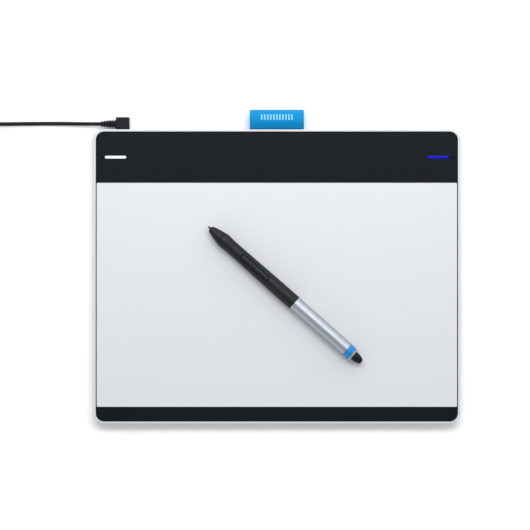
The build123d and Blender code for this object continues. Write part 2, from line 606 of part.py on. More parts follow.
DOOR_FRONT_Y = BAY_FRONT_Y - DOOR_LEDGE + DOOR_GAP
DOOR_REAR_Y = DOOR_FRONT_Y + DOOR_DEPTH - 2 * DOOR_GAP
with BuildPart() as compartment_cover:
    with BuildSketch(level(DOOR_LOW_Z, (DOOR_FRONT_Y + DOOR_REAR_Y) / 2)):
        Rectangle(DOOR_WIDTH - 2 * DOOR_GAP, DOOR_REAR_Y - DOOR_FRONT_Y)
    extrude(amount=DOOR)
    # The front edge is round about the hinge line
    fillet(compartment_cover.edges().filter_by(Axis.X).group_by(Axis.Y)[0], DOOR_ROUND)
    # Finger notch at the rear edge
    with BuildSketch(level(DOOR_LOW_Z, DOOR_REAR_Y)):
        Circle(FINGER_NOTCH_RADIUS)
    extrude(amount=FINGER_NOTCH, mode=Mode.SUBTRACT)
save(compartment_cover.part, "compartment_cover")

NIB_LAYER_Z = BAY_TOP_Z - NIB_LAYER
NIB_SPOTS = [(BAY_MIDDLE_Y + row * NIB_PITCH, NIB_LAYER_Z) for row in (-1, 0, 1)]
with BuildPart() as nib_holder:
    with BuildSketch(level(BAY_TOP_Z - 2 * NIB_LAYER, BAY_MIDDLE_Y, HOLDER_X)):
        Rectangle(HOLDER_LENGTH, HOLDER_WIDTH)
    extrude(amount=2 * NIB_LAYER)
    with BuildSketch(across(HOLDER_X - HOLDER_LENGTH)):
        with Locations(*NIB_SPOTS):
            Circle(NIB_RADIUS + STACK_GAP / 2)
    extrude(amount=2 * HOLDER_LENGTH, mode=Mode.SUBTRACT)
save(nib_holder.part, "nib_holder")

with BuildPart() as spare_nibs:
    with BuildSketch(across(SPARE_NIB_X)):
        with Locations(*NIB_SPOTS):
            Circle(NIB_RADIUS)
    extrude(amount=SPARE_NIB_LENGTH)
    fillet(spare_nibs.faces().sort_by(Axis.X)[-len(NIB_SPOTS):].edges(), NIB_TIP_RADIUS)
save(spare_nibs.part, "spare_nibs")

with BuildPart() as nib_removal_ring:
    with BuildSketch(level(BAY_TOP_Z - PULLER_HEIGHT, BAY_MIDDLE_Y, PULLER_X)):
        Circle(PULLER_RADIUS)
        Circle(PULLER_BORE_RADIUS, mode=Mode.SUBTRACT)
    extrude(amount=PULLER_HEIGHT)
    fillet(nib_removal_ring.faces().sort_by(Axis.Z)[0].edges(), PULLER_EDGE_RADIUS)
save(nib_removal_ring.part, "nib_removal_ring")

with BuildPart() as module_connector:
    with BuildSketch(level(MODULE_PLUG_LOW_Z, BAY_MIDDLE_Y, BAY_HALF_X - MODULE_PLUG_WIDTH / 2)):
        Rectangle(MODULE_PLUG_WIDTH, MODULE_PLUG_DEPTH)
    extrude(amount=BAY_TOP_Z - MODULE_PLUG_LOW_Z)
    with BuildSketch(across(BAY_HALF_X - MODULE_PLUG_WIDTH)):
        with Locations((BAY_MIDDLE_Y, MODULE_SLOT_Z)):
            Rectangle(MODULE_SLOT_WIDTH, MODULE_SLOT_HEIGHT)
    extrude(amount=MODULE_SLOT_DEEP, mode=Mode.SUBTRACT)
save(module_connector.part, "module_connector")

# ================================================================ tablet: pen loop
LOOP_MIDDLE_Y = CASE_REAR_Y + LOOP_REACH - LOOP_HALF_Y
NECK_START_Y = CASE_REAR_Y - NECK_INSIDE
NECK_END_Y = LOOP_MIDDLE_Y - LOOP_HALF_Y + LOOP_CLOTH
with BuildPart() as pen_loop:
    with BuildSketch(across(-LOOP_WIDTH / 2)):
        with Locations((LOOP_MIDDLE_Y, LOOP_Z)):
            Ellipse(LOOP_HALF_Y, LOOP_HALF_Z)
        with Locations(((NECK_START_Y + NECK_END_Y) / 2, LOOP_Z)):
            Rectangle(NECK_END_Y - NECK_START_Y, 2 * LOOP_CLOTH)
        with Locations((LOOP_MIDDLE_Y, LOOP_Z)):
            Ellipse(LOOP_HALF_Y - LOOP_CLOTH, LOOP_HALF_Z - LOOP_CLOTH, mode=Mode.SUBTRACT)
    extrude(amount=LOOP_WIDTH)
save(pen_loop.part, "pen_loop")

with BuildPart() as pen_loop_anchor:
    with BuildSketch(across(-LOOP_WIDTH / 2 - ANCHOR_OVERHANG)):
        with Locations((NECK_START_Y + ANCHOR_DEPTH / 4, (FLOOR_TOP_Z + PLATE_LOW_Z) / 2)):
            Rectangle(ANCHOR_DEPTH, PLATE_LOW_Z - FLOOR_TOP_Z)
    extrude(amount=LOOP_WIDTH + 2 * ANCHOR_OVERHANG)
    with BuildSketch(rear_wall(0, LOOP_Z, NECK_START_Y + ANCHOR_DEPTH)):
        Rectangle(LOOP_WIDTH + 2 * FIT_GAP, 2 * LOOP_CLOTH + 2 * STACK_GAP)
    extrude(amount=ANCHOR_DEPTH, mode=Mode.SUBTRACT)
save(pen_loop_anchor.part, "pen_loop_anchor")

# ================================================================ cable
PLUG_FRONT_Y = CASE_REAR_Y + PLUG_STANDOFF
PLUG_SHELL_WIDTH = SOCKET_WIDTH - 2 * SOCKET_WALL - PLUG_FIT
PLUG_SHELL_HEIGHT = SOCKET_HEIGHT - 2 * SOCKET_WALL - PLUG_FIT
with BuildPart() as usb_plug_body:
    with BuildSketch(rear_wall(PORT_X, PORT_Z, PLUG_FRONT_Y + PLUG_DEPTH - PLUG_STANDOFF)):
        RectangleRounded(PLUG_WIDTH, PLUG_HEIGHT, PLUG_CORNER)
    extrude(amount=PLUG_DEPTH - PLUG_STANDOFF)
    fillet(usb_plug_body.faces().sort_by(Axis.Y)[-1].edges(), PLUG_EDGE_RADIUS)
save(usb_plug_body.part, "usb_plug_body")

with BuildPart() as usb_plug_shell:
    with BuildSketch(rear_wall(PORT_X, PORT_Z, PLUG_FRONT_Y)):
        RectangleRounded(PLUG_SHELL_WIDTH, PLUG_SHELL_HEIGHT, SOCKET_CORNER / 2)
        RectangleRounded(PLUG_SHELL_WIDTH - 2 * SOCKET_WALL, PLUG_SHELL_HEIGHT - 2 * SOCKET_WALL,
                         SOCKET_CORNER / 4, mode=Mode.SUBTRACT)
    extrude(amount=SOCKET_DEPTH)
save(usb_plug_shell.part, "usb_plug_shell")

with BuildPart() as cable_strain_relief:
    with BuildSketch(Plane(origin=(PLUG_LEFT_X, CORD_Y, PORT_Z), x_dir=(0, 1, 0), z_dir=(-1, 0, 0))):
        Circle(RELIEF_BIG / 2)
    with BuildSketch(Plane(origin=(CORD_EXIT_X, CORD_Y, PORT_Z), x_dir=(0, 1, 0), z_dir=(-1, 0, 0))):
        Circle(RELIEF_SMALL / 2)
    loft()
    # Grooves between the rings
    for ring in range(RELIEF_RINGS):
        groove_x = PLUG_LEFT_X - RELIEF_LENGTH * (ring + 1) / (RELIEF_RINGS + 1)
        with BuildSketch(Plane(origin=(groove_x, CORD_Y, PORT_Z), x_dir=(0, 1, 0), z_dir=(-1, 0, 0))):
            Circle(RELIEF_BIG)
            Circle(RELIEF_SMALL / 2 - FIT_GAP, mode=Mode.SUBTRACT)
        extrude(amount=RELIEF_GROOVE, mode=Mode.SUBTRACT)
save(cable_strain_relief.part, "cable_strain_relief")


def corner_radii(points):
    """The largest arc each corner of a cable's route has room for."""
    radii = []
    for before, here, after in zip(points, points[1:], points[2:]):
        run_in = Vector(here) - Vector(before)
        run_out = Vector(after) - Vector(here)
        turn = radians(run_in.get_angle(run_out))
        radii.append(0.45 * min(run_in.length, run_out.length) / tan(turn / 2))
    return radii


def cord_tube(name, points):
    """A cable's tube: straight runs joined by tangent arcs."""
    radii = corner_radii(points)
    with BuildPart() as tube:
        with BuildLine() as route:
            FilletPolyline(*points, radius=radii)
        with BuildSketch(Plane(origin=points[0], z_dir=Vector(points[1]) - Vector(points[0]))):
            Circle(CORD_RADIUS)
        sweep(path=route.wire())
    length = sum(edge.length for edge in route.edges())
    print(f"{name}: {length:.1f} long, radii {[round(r, 1) for r in radii]},",
          f"volume over section times length {tube.part.volume / (pi * CORD_RADIUS**2 * length):.4f}")
    return tube.part


CORD_ROUTE = [
    (CORD_EXIT_X, CORD_Y, PORT_Z),
    (-143.0, CORD_Y, PORT_Z),
    (-154.0, CORD_Y + 0.3, 2.7),
    (-167.0, CORD_Y + 0.5, 1.5),
    (-187.0, CORD_Y + 0.4, 1.42),
    (-211.0, CORD_Y + 0.1, 1.42),
    (COIL_X + 4.0, CORD_Y, 1.41),
]
save(cord_tube("usb_cable", CORD_ROUTE), "usb_cable")

TAIL_X = COIL_X - COIL_OUTER + CORD_RADIUS
TAIL_END_Y = COIL_Y - 26.0
TAIL_ROUTE = [
    (TAIL_X, COIL_Y + 1.0, COIL_HEIGHT - CORD_RADIUS),
    (TAIL_X, COIL_Y - 7.0, 9.0),
    (TAIL_X, COIL_Y - 17.0, A_PLUG_Z),
    (TAIL_X, TAIL_END_Y, A_PLUG_Z),
]
save(cord_tube("usb_cable_tail", TAIL_ROUTE), "usb_cable_tail")

with BuildPart() as cable_coil:
    with BuildSketch(Plane(origin=(COIL_X, COIL_Y, 0), x_dir=(1, 0, 0), z_dir=(0, -1, 0))):
        with Locations((COIL_MEAN_RADIUS, COIL_HEIGHT / 2)):
            RectangleRounded(COIL_OUTER - COIL_INNER, COIL_HEIGHT, CORD_RADIUS)
    revolve(axis=Axis((COIL_X, COIL_Y, 0), (0, 0, 1)))
save(cable_coil.part, "cable_coil")

with BuildPart() as cable_tie:
    with BuildSketch(Plane(origin=(COIL_X - TIE_WIDTH / 2, COIL_Y - COIL_MEAN_RADIUS, 0), x_dir=(0, 1, 0),
                           z_dir=(1, 0, 0))):
        with Locations((0, (COIL_HEIGHT + TIE) / 2)):
            RectangleRounded(COIL_OUTER - COIL_INNER + 2 * TIE, COIL_HEIGHT + TIE, CORD_RADIUS + TIE)
            RectangleRounded(COIL_OUTER - COIL_INNER, COIL_HEIGHT - TIE, CORD_RADIUS, mode=Mode.SUBTRACT)
    extrude(amount=TIE_WIDTH)
save(cable_tie.part, "cable_tie")


def toward_front(y):
    """An upright plane square to the computer plug, at this distance in front of the cable's tail."""
    return Plane(origin=(TAIL_X, TAIL_END_Y - y, A_PLUG_Z), x_dir=(1, 0, 0), z_dir=(0, -1, 0))


with BuildPart() as usb_a_plug_body:
    with BuildSketch(toward_front(0)):
        Circle(RELIEF_SMALL / 2)
    with BuildSketch(toward_front(A_NECK)):
        Circle(RELIEF_BIG / 2)
    loft()
    with BuildSketch(toward_front(A_NECK)):
        RectangleRounded(A_BODY_WIDTH, A_BODY_HEIGHT, A_BODY_CORNER)
    extrude(amount=A_BODY)
    fillet(usb_a_plug_body.faces().filter_by(Axis.Y).sort_by(Axis.Y)[0].edges(), A_BODY_EDGE_RADIUS)
save(usb_a_plug_body.part, "usb_a_plug_body")

with BuildPart() as usb_a_plug_shell:
    with BuildSketch(toward_front(A_NECK + A_BODY)):
        RectangleRounded(A_SHELL_WIDTH, A_SHELL_HEIGHT, 1.5 * A_SHELL_WALL)
        RectangleRounded(A_SHELL_WIDTH - 2 * A_SHELL_WALL, A_SHELL_HEIGHT - 2 * A_SHELL_WALL,
                         A_SHELL_WALL / 2, mode=Mode.SUBTRACT)
    extrude(amount=A_SHELL)
save(usb_a_plug_shell.part, "usb_a_plug_shell")

with BuildPart() as usb_a_plug_tongue:
    with BuildSketch(toward_front(A_NECK + A_BODY)):
        with Locations((0, -A_TONGUE_BELOW)):
            Rectangle(A_TONGUE_WIDTH, A_TONGUE)
    extrude(amount=A_SHELL - A_TONGUE_SINK)
save(usb_a_plug_tongue.part, "usb_a_plug_tongue")

# ================================================================ pen: shells
CONE_POINTS = [(NIB_OUT, 1.8), (4.5, 3.0), (6.8, 3.55), (9.1, 4.15), (11.4, 4.75), (CONE_END, 5.1)]
GRIP_POINTS = [(CONE_END, 5.15), (17.0, 5.55), (22.7, 5.2), (28.0, 5.15), (45.0, 5.35), (60.0, 5.55),
               (74.0, GRIP_MAX_RADIUS), (GRIP_END, GRIP_MAX_RADIUS)]

with BuildPart() as pen_nose_cone:
    with BuildSketch(PEN_PROFILE):
        with BuildLine():
            outside = Spline(*CONE_POINTS)
            Polyline(outside @ 1, (CONE_END, PEN_BORE), (11.0, 3.6), (7.5, NIB_BORE), (NIB_OUT, NIB_BORE),
                     outside @ 0)
        make_face()
    revolve(axis=PEN_AXIS)
save(pen_nose_cone.part, "pen_nose_cone")

with BuildPart() as pen_grip:
    with BuildSketch(PEN_PROFILE):
        with BuildLine():
            outside = Spline(*GRIP_POINTS)
            Polyline(outside @ 1, (GRIP_END, PEN_BORE), (CONE_END, PEN_BORE), outside @ 0)
        make_face()
    revolve(axis=PEN_AXIS)
    with BuildSketch(pen_level(SWITCH_START + SWITCH_LENGTH / 2, 0)):
        SlotOverall(SWITCH_LENGTH, SWITCH_WIDTH)
    extrude(amount=2 * GRIP_MAX_RADIUS, mode=Mode.SUBTRACT)
save(pen_grip.part, "pen_grip")

with BuildPart() as pen_side_switch:
    with BuildSketch(pen_level(SWITCH_START + SWITCH_LENGTH / 2, ROCKER_LOW)):
        SlotOverall(SWITCH_LENGTH - 2 * SWITCH_GROOVE, SWITCH_WIDTH - 2 * SWITCH_GROOVE)
    extrude(amount=GRIP_MAX_RADIUS)
    with BuildSketch(pen_section(SWITCH_START)):
        Circle(ROCKER_TOP_RADIUS)
    extrude(amount=SWITCH_LENGTH, mode=Mode.INTERSECT)
    fillet(pen_side_switch.edges().sort_by(Axis.Z)[-1:], ROCKER_EDGE_RADIUS)
    with BuildSketch(pen_level(SWITCH_START + SWITCH_LENGTH / 2, ROCKER_FOOT_LOW)):
        with GridLocations(2 * DOME_SPREAD, 0, 2, 1):
            Circle(ROCKER_FOOT_RADIUS)
    extrude(amount=ROCKER_LOW - ROCKER_FOOT_LOW)
save(pen_side_switch.part, "pen_side_switch")

with BuildPart() as pen_rear_barrel:
    with BuildSketch(PEN_PROFILE):
        with BuildLine():
            Polyline((GRIP_END, PEN_BORE), (GRIP_END, BARREL_START_RADIUS), (BARREL_END, BARREL_END_RADIUS),
                     (BARREL_END, PEN_BORE), close=True)
        make_face()
    revolve(axis=PEN_AXIS)
save(pen_rear_barrel.part, "pen_rear_barrel")

with BuildPart() as pen_ring:
    with BuildSketch(pen_section(BARREL_END)):
        Circle(RING_RADIUS)
        Circle(PEN_BORE, mode=Mode.SUBTRACT)
    extrude(amount=RING_END - BARREL_END)
save(pen_ring.part, "pen_ring")

with BuildPart() as pen_end_cap:
    with BuildSketch(PEN_PROFILE):
        with BuildLine():
            Polyline((RING_END, ERASER_RADIUS + ERASER_CLEAR),
                     *[(RING_END + along, radius) for along, radius in CAP_POINTS],
                     (CAP_END, ERASER_RADIUS + ERASER_CLEAR), close=True)
        make_face()
    revolve(axis=PEN_AXIS)
save(pen_end_cap.part, "pen_end_cap")

# ================================================================ pen: nib and eraser
with BuildPart() as pen_nib:
    with BuildSketch(pen_section(0)):
        Circle(NIB_TIP_RADIUS)
    with BuildSketch(pen_section(NIB_TAPER)):
        Circle(NIB_RADIUS)
    loft()
    with BuildSketch(pen_section(NIB_TAPER)):
        Circle(NIB_RADIUS)
    extrude(amount=NIB_LENGTH - NIB_TAPER)
    fillet(pen_nib.edges().filter_by(GeomType.CIRCLE).sort_by(PEN_AXIS)[0], 0.8 * NIB_TIP_RADIUS)
save(pen_nib.part, "pen_nib")

with BuildPart() as pen_eraser:
    with BuildSketch(pen_section(ERASER_HEAD_START)):
        Circle(ERASER_RADIUS)
    extrude(amount=ERASER_END - ERASER_HEAD_START)
    fillet(pen_eraser.edges().filter_by(GeomType.CIRCLE).sort_by(PEN_AXIS)[-1], 0.94 * ERASER_RADIUS)
    with BuildSketch(pen_section(ERASER_STEM_START)):
        Circle(ERASER_STEM_RADIUS)
    extrude(amount=ERASER_HEAD_START - ERASER_STEM_START)
save(pen_eraser.part, "pen_eraser")


# ================================================================ pen: inside
def pen_tube(start, end, outer, inner):
    """A round sleeve on the pen's axis."""
    with BuildPart() as sleeve:
        with BuildSketch(pen_section(start)):
            Circle(outer)
            Circle(inner, mode=Mode.SUBTRACT)
        extrude(amount=end - start)
    return sleeve.part


save(pen_tube(FERRITE_START, FERRITE_END, FERRITE_RADIUS, NIB_BORE), "pen_ferrite")
save(pen_tube(WINDING_START, WINDING_END, WINDING_RADIUS, FERRITE_RADIUS), "pen_coil")

with BuildPart() as pen_pressure_sensor:
    with BuildSketch(pen_section(SENSOR_START)):
        Circle(SENSOR_RADIUS)
    extrude(amount=SENSOR_LENGTH)
    with BuildSketch(pen_section(SENSOR_START)):
        Circle(NIB_RADIUS + FIT_GAP)
    extrude(amount=NIB_LENGTH + 1.0 - SENSOR_START, mode=Mode.SUBTRACT)
save(pen_pressure_sensor.part, "pen_pressure_sensor")

with BuildPart() as pen_eraser_sensor:
    with BuildSketch(pen_section(ERASER_SENSOR_START)):
        Circle(SENSOR_RADIUS)
    extrude(amount=ERASER_SENSOR_LENGTH)
    with BuildSketch(pen_section(ERASER_STEM_START - 1.0)):
        Circle(ERASER_STEM_RADIUS + FIT_GAP)
    extrude(amount=SENSOR_LENGTH, mode=Mode.SUBTRACT)
save(pen_eraser_sensor.part, "pen_eraser_sensor")

with BuildPart() as pen_board:
    with BuildSketch(pen_level(PEN_BOARD_MIDDLE, PEN_BOARD_TOP - PEN_BOARD)):
        Rectangle(PEN_BOARD_LENGTH, PEN_BOARD_WIDTH)
    extrude(amount=PEN_BOARD)
save(pen_board.part, "pen_board")

with BuildPart() as pen_switch_domes:
    with BuildSketch(pen_level(SWITCH_START + SWITCH_LENGTH / 2, PEN_BOARD_TOP)):
        with GridLocations(2 * DOME_SPREAD, 0, 2, 1):
            Circle(DOME_RADIUS)
    extrude(amount=DOME_HEIGHT)
save(pen_switch_domes.part, "pen_switch_domes")

with BuildPart() as pen_chassis:
    with BuildSketch(pen_section(CHASSIS_START)):
        Circle(PEN_BORE - CHASSIS_FIT)
        Circle(CHASSIS_BORE_RADIUS, mode=Mode.SUBTRACT)
    extrude(amount=CHASSIS_LENGTH)
    # Only the trough below the board
    with BuildSketch(pen_level(PEN_BOARD_MIDDLE, PEN_BOARD_TOP - PEN_BOARD)):
        Rectangle(CHASSIS_LENGTH + PEN_BORE, 4 * PEN_BORE)
    extrude(amount=2 * PEN_BORE, mode=Mode.SUBTRACT)
save(pen_chassis.part, "pen_chassis")
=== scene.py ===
"""Looks of the pen drawing tablet, its pen, pen loop and USB cable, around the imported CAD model."""

import json
import math

import bmesh
import bpy
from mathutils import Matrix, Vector


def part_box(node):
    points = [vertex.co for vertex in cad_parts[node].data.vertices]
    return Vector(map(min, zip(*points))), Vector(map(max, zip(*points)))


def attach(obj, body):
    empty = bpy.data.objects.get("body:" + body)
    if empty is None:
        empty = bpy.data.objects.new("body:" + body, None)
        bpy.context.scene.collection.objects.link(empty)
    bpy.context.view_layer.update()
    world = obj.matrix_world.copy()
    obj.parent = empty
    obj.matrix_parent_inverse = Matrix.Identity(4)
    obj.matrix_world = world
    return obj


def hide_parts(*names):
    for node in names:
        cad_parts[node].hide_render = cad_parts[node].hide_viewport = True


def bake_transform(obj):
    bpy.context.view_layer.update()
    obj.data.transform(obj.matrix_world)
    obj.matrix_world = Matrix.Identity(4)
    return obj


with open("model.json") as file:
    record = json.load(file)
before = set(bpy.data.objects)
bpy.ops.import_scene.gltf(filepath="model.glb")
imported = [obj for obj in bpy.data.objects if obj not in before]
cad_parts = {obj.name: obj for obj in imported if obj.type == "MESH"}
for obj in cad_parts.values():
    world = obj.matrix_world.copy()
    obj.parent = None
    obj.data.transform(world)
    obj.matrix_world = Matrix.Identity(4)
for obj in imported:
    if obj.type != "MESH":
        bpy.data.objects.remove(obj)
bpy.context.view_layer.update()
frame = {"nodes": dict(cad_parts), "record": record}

MM = 0.001

# ---------------------------------------------------------------- places, from the frame
COVER_LOW, COVER_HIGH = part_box("top_cover")
SHEET_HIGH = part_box("drawing_surface")[1]
CASE_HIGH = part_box("bottom_case")[1]
MARK_LOW, MARK_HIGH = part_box("light_guide_left")
PLUG_LOW, PLUG_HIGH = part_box("usb_plug_body")
RELIEF_LOW, RELIEF_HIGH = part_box("cable_strain_relief")
LOOP_LOW, LOOP_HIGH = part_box("pen_loop")
COIL_LOW, COIL_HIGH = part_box("cable_coil")
TIE_LOW, TIE_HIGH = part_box("cable_tie")
A_PLUG_LOW, A_PLUG_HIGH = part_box("usb_a_plug_body")

COVER_HALF_X = (COVER_HIGH.x - COVER_LOW.x) / 2
TOP_Z = COVER_HIGH.z
BAND_FRONT_Y = SHEET_HIGH.y
SLIT_Y = (MARK_LOW.y + MARK_HIGH.y) / 2

# Pen: places along its axis, in millimetres from the tip of the nib
PEN_ANGLE = math.radians(-41.5)
PEN_DIRECTION = Vector((math.cos(PEN_ANGLE), math.sin(PEN_ANGLE), 0))
PEN_UP = Vector((0, 0, 1))
PEN_SIDE = PEN_DIRECTION.cross(PEN_UP)
PEN_TIP = Vector((-52.1, 30.4, 16.2)) * MM
CAP_END, ERASER_END = 146.9, 154.8
SWITCH_MIDDLE, SWITCH_LENGTH, SWITCH_WIDTH = 47.3, 28.0, 4.8

# Cable: the route that the CAD tube follows, in metres
CORD_DIAMETER = 0.0028
CORD_RADIUS = CORD_DIAMETER / 2
CORD_ROUTE = [
    (-0.1339, 0.1082, 0.0060),
    (-0.1430, 0.1082, 0.0060),
    (-0.1540, 0.1085, 0.0027),
    (-0.1670, 0.1087, 0.0015),
    (-0.1870, 0.1086, 0.00142),
    (-0.2110, 0.1083, 0.00142),
]
TAIL_X = -0.2557
TAIL_ROUTE = [
    (TAIL_X, 0.0815, 0.0090),
    (TAIL_X, 0.0715, 0.0042),
    (TAIL_X, 0.0625, 0.0042),
]


# ================================================================ camera and lights
SENSOR = 36
CAMERA_HEIGHT = 2.2
VIEW_WIDTH = 0.4012
VIEW_X, VIEW_Y = -0.00897, 0.0012

TENT_TINT = (0.985, 0.99, 1.0, 1)
TENT_AT_SIDES = 0.90
TENT_OVERHEAD = 0.40
TENT_SPAN = (0.15, 0.85)  # heights in the sky between which it dims
PANEL_GLOW = 0.95
PANEL_SPAN = (0.45, 1)  # from how far round its middle a glow starts and is full, as a cosine
PANEL_AZIMUTH = math.radians(70)
PANEL_ELEVATION = math.radians(33)
FILL_GLOW = 0.50
FILL_SPAN = (0.86, 0.98)
FILL_AZIMUTH = math.radians(228)
FILL_ELEVATION = math.radians(17)
KEY_POWER = 2.75
KEY_PLACE = (0.0, 0.25, 0.62)
KEY_SIZE = (0.7, 0.2)


def add_camera():
    """Straight above, with the tablet a little right of and below the middle, as the object was pictured."""
    data = bpy.data.cameras.new("camera")
    data.sensor_width = SENSOR
    data.lens = SENSOR * CAMERA_HEIGHT / VIEW_WIDTH
    data.clip_end = 10
    camera = bpy.data.objects.new("camera", data)
    camera.location = (VIEW_X, VIEW_Y, TOP_Z + CAMERA_HEIGHT)
    bpy.context.scene.collection.objects.link(camera)
    bpy.context.scene.camera = camera


def add_area_light(name, place, target, size, power):
    """A rectangular soft light that looks at a point."""
    data = bpy.data.lights.new(name, "AREA")
    data.shape = "RECTANGLE"
    data.size, data.size_y = size
    data.energy = power
    light = bpy.data.objects.new(name, data)
    light.location = place
    light.rotation_euler = (Vector(target) - Vector(place)).to_track_quat("-Z", "Y").to_euler()
    bpy.context.scene.collection.objects.link(light)


def toward(tree, direction, azimuth, elevation):
    """How nearly a direction of the world points at a place in the sky: 1 when it does."""
    aim = tree.nodes.new("ShaderNodeVectorMath")
    aim.operation = "DOT_PRODUCT"
    aim.inputs[1].default_value = (
        math.cos(elevation) * math.cos(azimuth),
        math.cos(elevation) * math.sin(azimuth),
        math.sin(elevation),
    )
    tree.links.new(direction, aim.inputs[0])
    return aim.outputs["Value"]


def add_tent():
    """A light tent: dim overhead, pale at the sides, with a wide glow behind and a small one in front."""
    world = bpy.data.worlds.new("studio")
    world.use_nodes = True
    tree = world.node_tree
    direction = tree.nodes.new("ShaderNodeTexCoord").outputs["Generated"]
    split = tree.nodes.new("ShaderNodeSeparateXYZ")
    tree.links.new(direction, split.inputs["Vector"])
    total = None
    for value, (from_low, from_high), low, high in (
        (split.outputs["Z"], TENT_SPAN, TENT_AT_SIDES, TENT_OVERHEAD),
        (toward(tree, direction, PANEL_AZIMUTH, PANEL_ELEVATION), PANEL_SPAN, 0, PANEL_GLOW),
        (toward(tree, direction, FILL_AZIMUTH, FILL_ELEVATION), FILL_SPAN, 0, FILL_GLOW),
    ):
        spread = tree.nodes.new("ShaderNodeMapRange")
        spread.interpolation_type = "SMOOTHSTEP"
        spread.inputs["From Min"].default_value = from_low
        spread.inputs["From Max"].default_value = from_high
        spread.inputs["To Min"].default_value = low
        spread.inputs["To Max"].default_value = high
        tree.links.new(value, spread.inputs["Value"])
        if total is None:
            total = spread.outputs["Result"]
            continue
        joined = tree.nodes.new("ShaderNodeMath")
        tree.links.new(total, joined.inputs[0])
        tree.links.new(spread.outputs["Result"], joined.inputs[1])
        total = joined.outputs["Value"]
    background = tree.nodes["Background"]
    background.inputs["Color"].default_value = TENT_TINT
    tree.links.new(total, background.inputs["Strength"])
    bpy.context.scene.world = world


def add_lights():
    """The tent, and one soft box behind the object."""
    add_tent()
    add_area_light("key_light", KEY_PLACE, (0, 0, 0), KEY_SIZE, KEY_POWER)
    bpy.context.scene.view_settings.view_transform = "Standard"


# ================================================================ materials
def srgb(red, green, blue):
    """A colour given in 0 to 255 screen values."""
    def linear(value):
        value /= 255
        return value / 12.92 if value <= 0.04045 else ((value + 0.055) / 1.055) ** 2.4
    return (linear(red), linear(green), linear(blue), 1)


def scaled(color, share):
    """A colour made darker or lighter."""
    return tuple(min(1, channel * share) for channel in color[:3]) + (1,)


class Finish:
    """A node material with helpers that add procedural colour, roughness and relief."""

    def __init__(self, name, color, roughness=0.5, metallic=0.0, **sockets):
        self.material = bpy.data.materials.new(name)
        self.material.use_nodes = True
        self.tree = self.material.node_tree
        self.shader = self.tree.nodes["Principled BSDF"]
        self.shader.inputs["Base Color"].default_value = color
        self.shader.inputs["Roughness"].default_value = roughness
        self.shader.inputs["Metallic"].default_value = metallic
        for socket, value in sockets.items():
            self.shader.inputs[socket.replace("_", " ")].default_value = value
        self.color = color
        self.place = self.node("ShaderNodeTexCoord").outputs["Object"]
        self.relief = None

    def node(self, kind, **settings):
        made = self.tree.nodes.new(kind)
        for name, value in settings.items():
            setattr(made, name, value)
        return made

    def join(self, start, end):
        self.tree.links.new(start, end)

    def noise(self, grain, detail=2.0, rough=0.5, stretch=(1, 1, 1), turn=0.0):
        """A noise whose grains are this many metres across."""
        place = self.place
        if stretch != (1, 1, 1) or turn:
            mapping = self.node("ShaderNodeMapping", vector_type="TEXTURE")
            mapping.inputs["Rotation"].default_value = (0, 0, turn)
            mapping.inputs["Scale"].default_value = stretch
            self.join(place, mapping.inputs["Vector"])
            place = mapping.outputs["Vector"]
        noise = self.node("ShaderNodeTexNoise")
        noise.inputs["Scale"].default_value = 1 / grain
        noise.inputs["Detail"].default_value = detail
        noise.inputs["Roughness"].default_value = rough
        self.join(place, noise.inputs["Vector"])
        return noise.outputs["Fac"]

    def ramp(self, value, low, high, from_low=0.3, from_high=0.7):
        """A value spread over a range."""
        spread = self.node("ShaderNodeMapRange", clamp=True)
        spread.inputs["From Min"].default_value = from_low
        spread.inputs["From Max"].default_value = from_high
        spread.inputs["To Min"].default_value = low
        spread.inputs["To Max"].default_value = high
        self.join(value, spread.inputs["Value"])
        return spread.outputs["Result"]

    def mix(self, value, first, second):
        """A colour between two colours, either of which may be a socket."""
        mixer = self.node("ShaderNodeMix", data_type="RGBA")
        self.join(value, mixer.inputs["Factor"])
        for socket, color in ((mixer.inputs[6], first), (mixer.inputs[7], second)):
            if isinstance(color, bpy.types.NodeSocket):
                self.join(color, socket)
            else:
                socket.default_value = color
        return mixer.outputs[2]

    def shades(self, value, darker, lighter):
        """The base colour, varied between a darker and a lighter shade."""
        mixed = self.mix(value, scaled(self.color, darker), scaled(self.color, lighter))
        self.join(mixed, self.shader.inputs["Base Color"])

    def rough(self, value, low, high):
        """Roughness that varies with a value."""
        self.join(self.ramp(value, low, high), self.shader.inputs["Roughness"])

    def bump(self, value, height):
        """Relief of this height in metres; several add up."""
        bump = self.node("ShaderNodeBump")
        bump.inputs["Distance"].default_value = height
        bump.inputs["Strength"].default_value = 1.0
        self.join(value, bump.inputs["Height"])
        if self.relief:
            self.join(self.relief, bump.inputs["Normal"])
        self.relief = bump.outputs["Normal"]
        self.join(self.relief, self.shader.inputs["Normal"])


def moulded(name, color, roughness, grain=0.00035, height=0.00002, spread=0.08, **sockets):
    """Moulded plastic: fine grain, faint smears in its gloss and a little unevenness in its colour."""
    finish = Finish(name, color, roughness, **sockets)
    grains = finish.noise(grain, detail=3.0)
    smears = finish.noise(grain=0.035, detail=3.0, rough=0.6)
    finish.rough(smears, roughness * 0.85, roughness * 1.15)
    finish.shades(smears, 1 - spread, 1 + spread)
    finish.bump(grains, height)
    return finish.material


def sheet_finish():
    """Paper-like film: fine tooth, faint mottling."""
    color = srgb(202, 205, 207)
    finish = Finish("sheet_film", color, 0.42, Specular_IOR_Level=0.75)
    tooth = finish.noise(grain=0.00028, detail=4.0, rough=0.65)
    mottle = finish.noise(grain=0.0016, detail=3.0, rough=0.6)
    cloud = finish.noise(grain=0.06)
    finish.shades(mottle, darker=0.985, lighter=1.012)
    finish.rough(cloud, low=0.40, high=0.45)
    finish.bump(tooth, height=0.000018)
    return finish.material


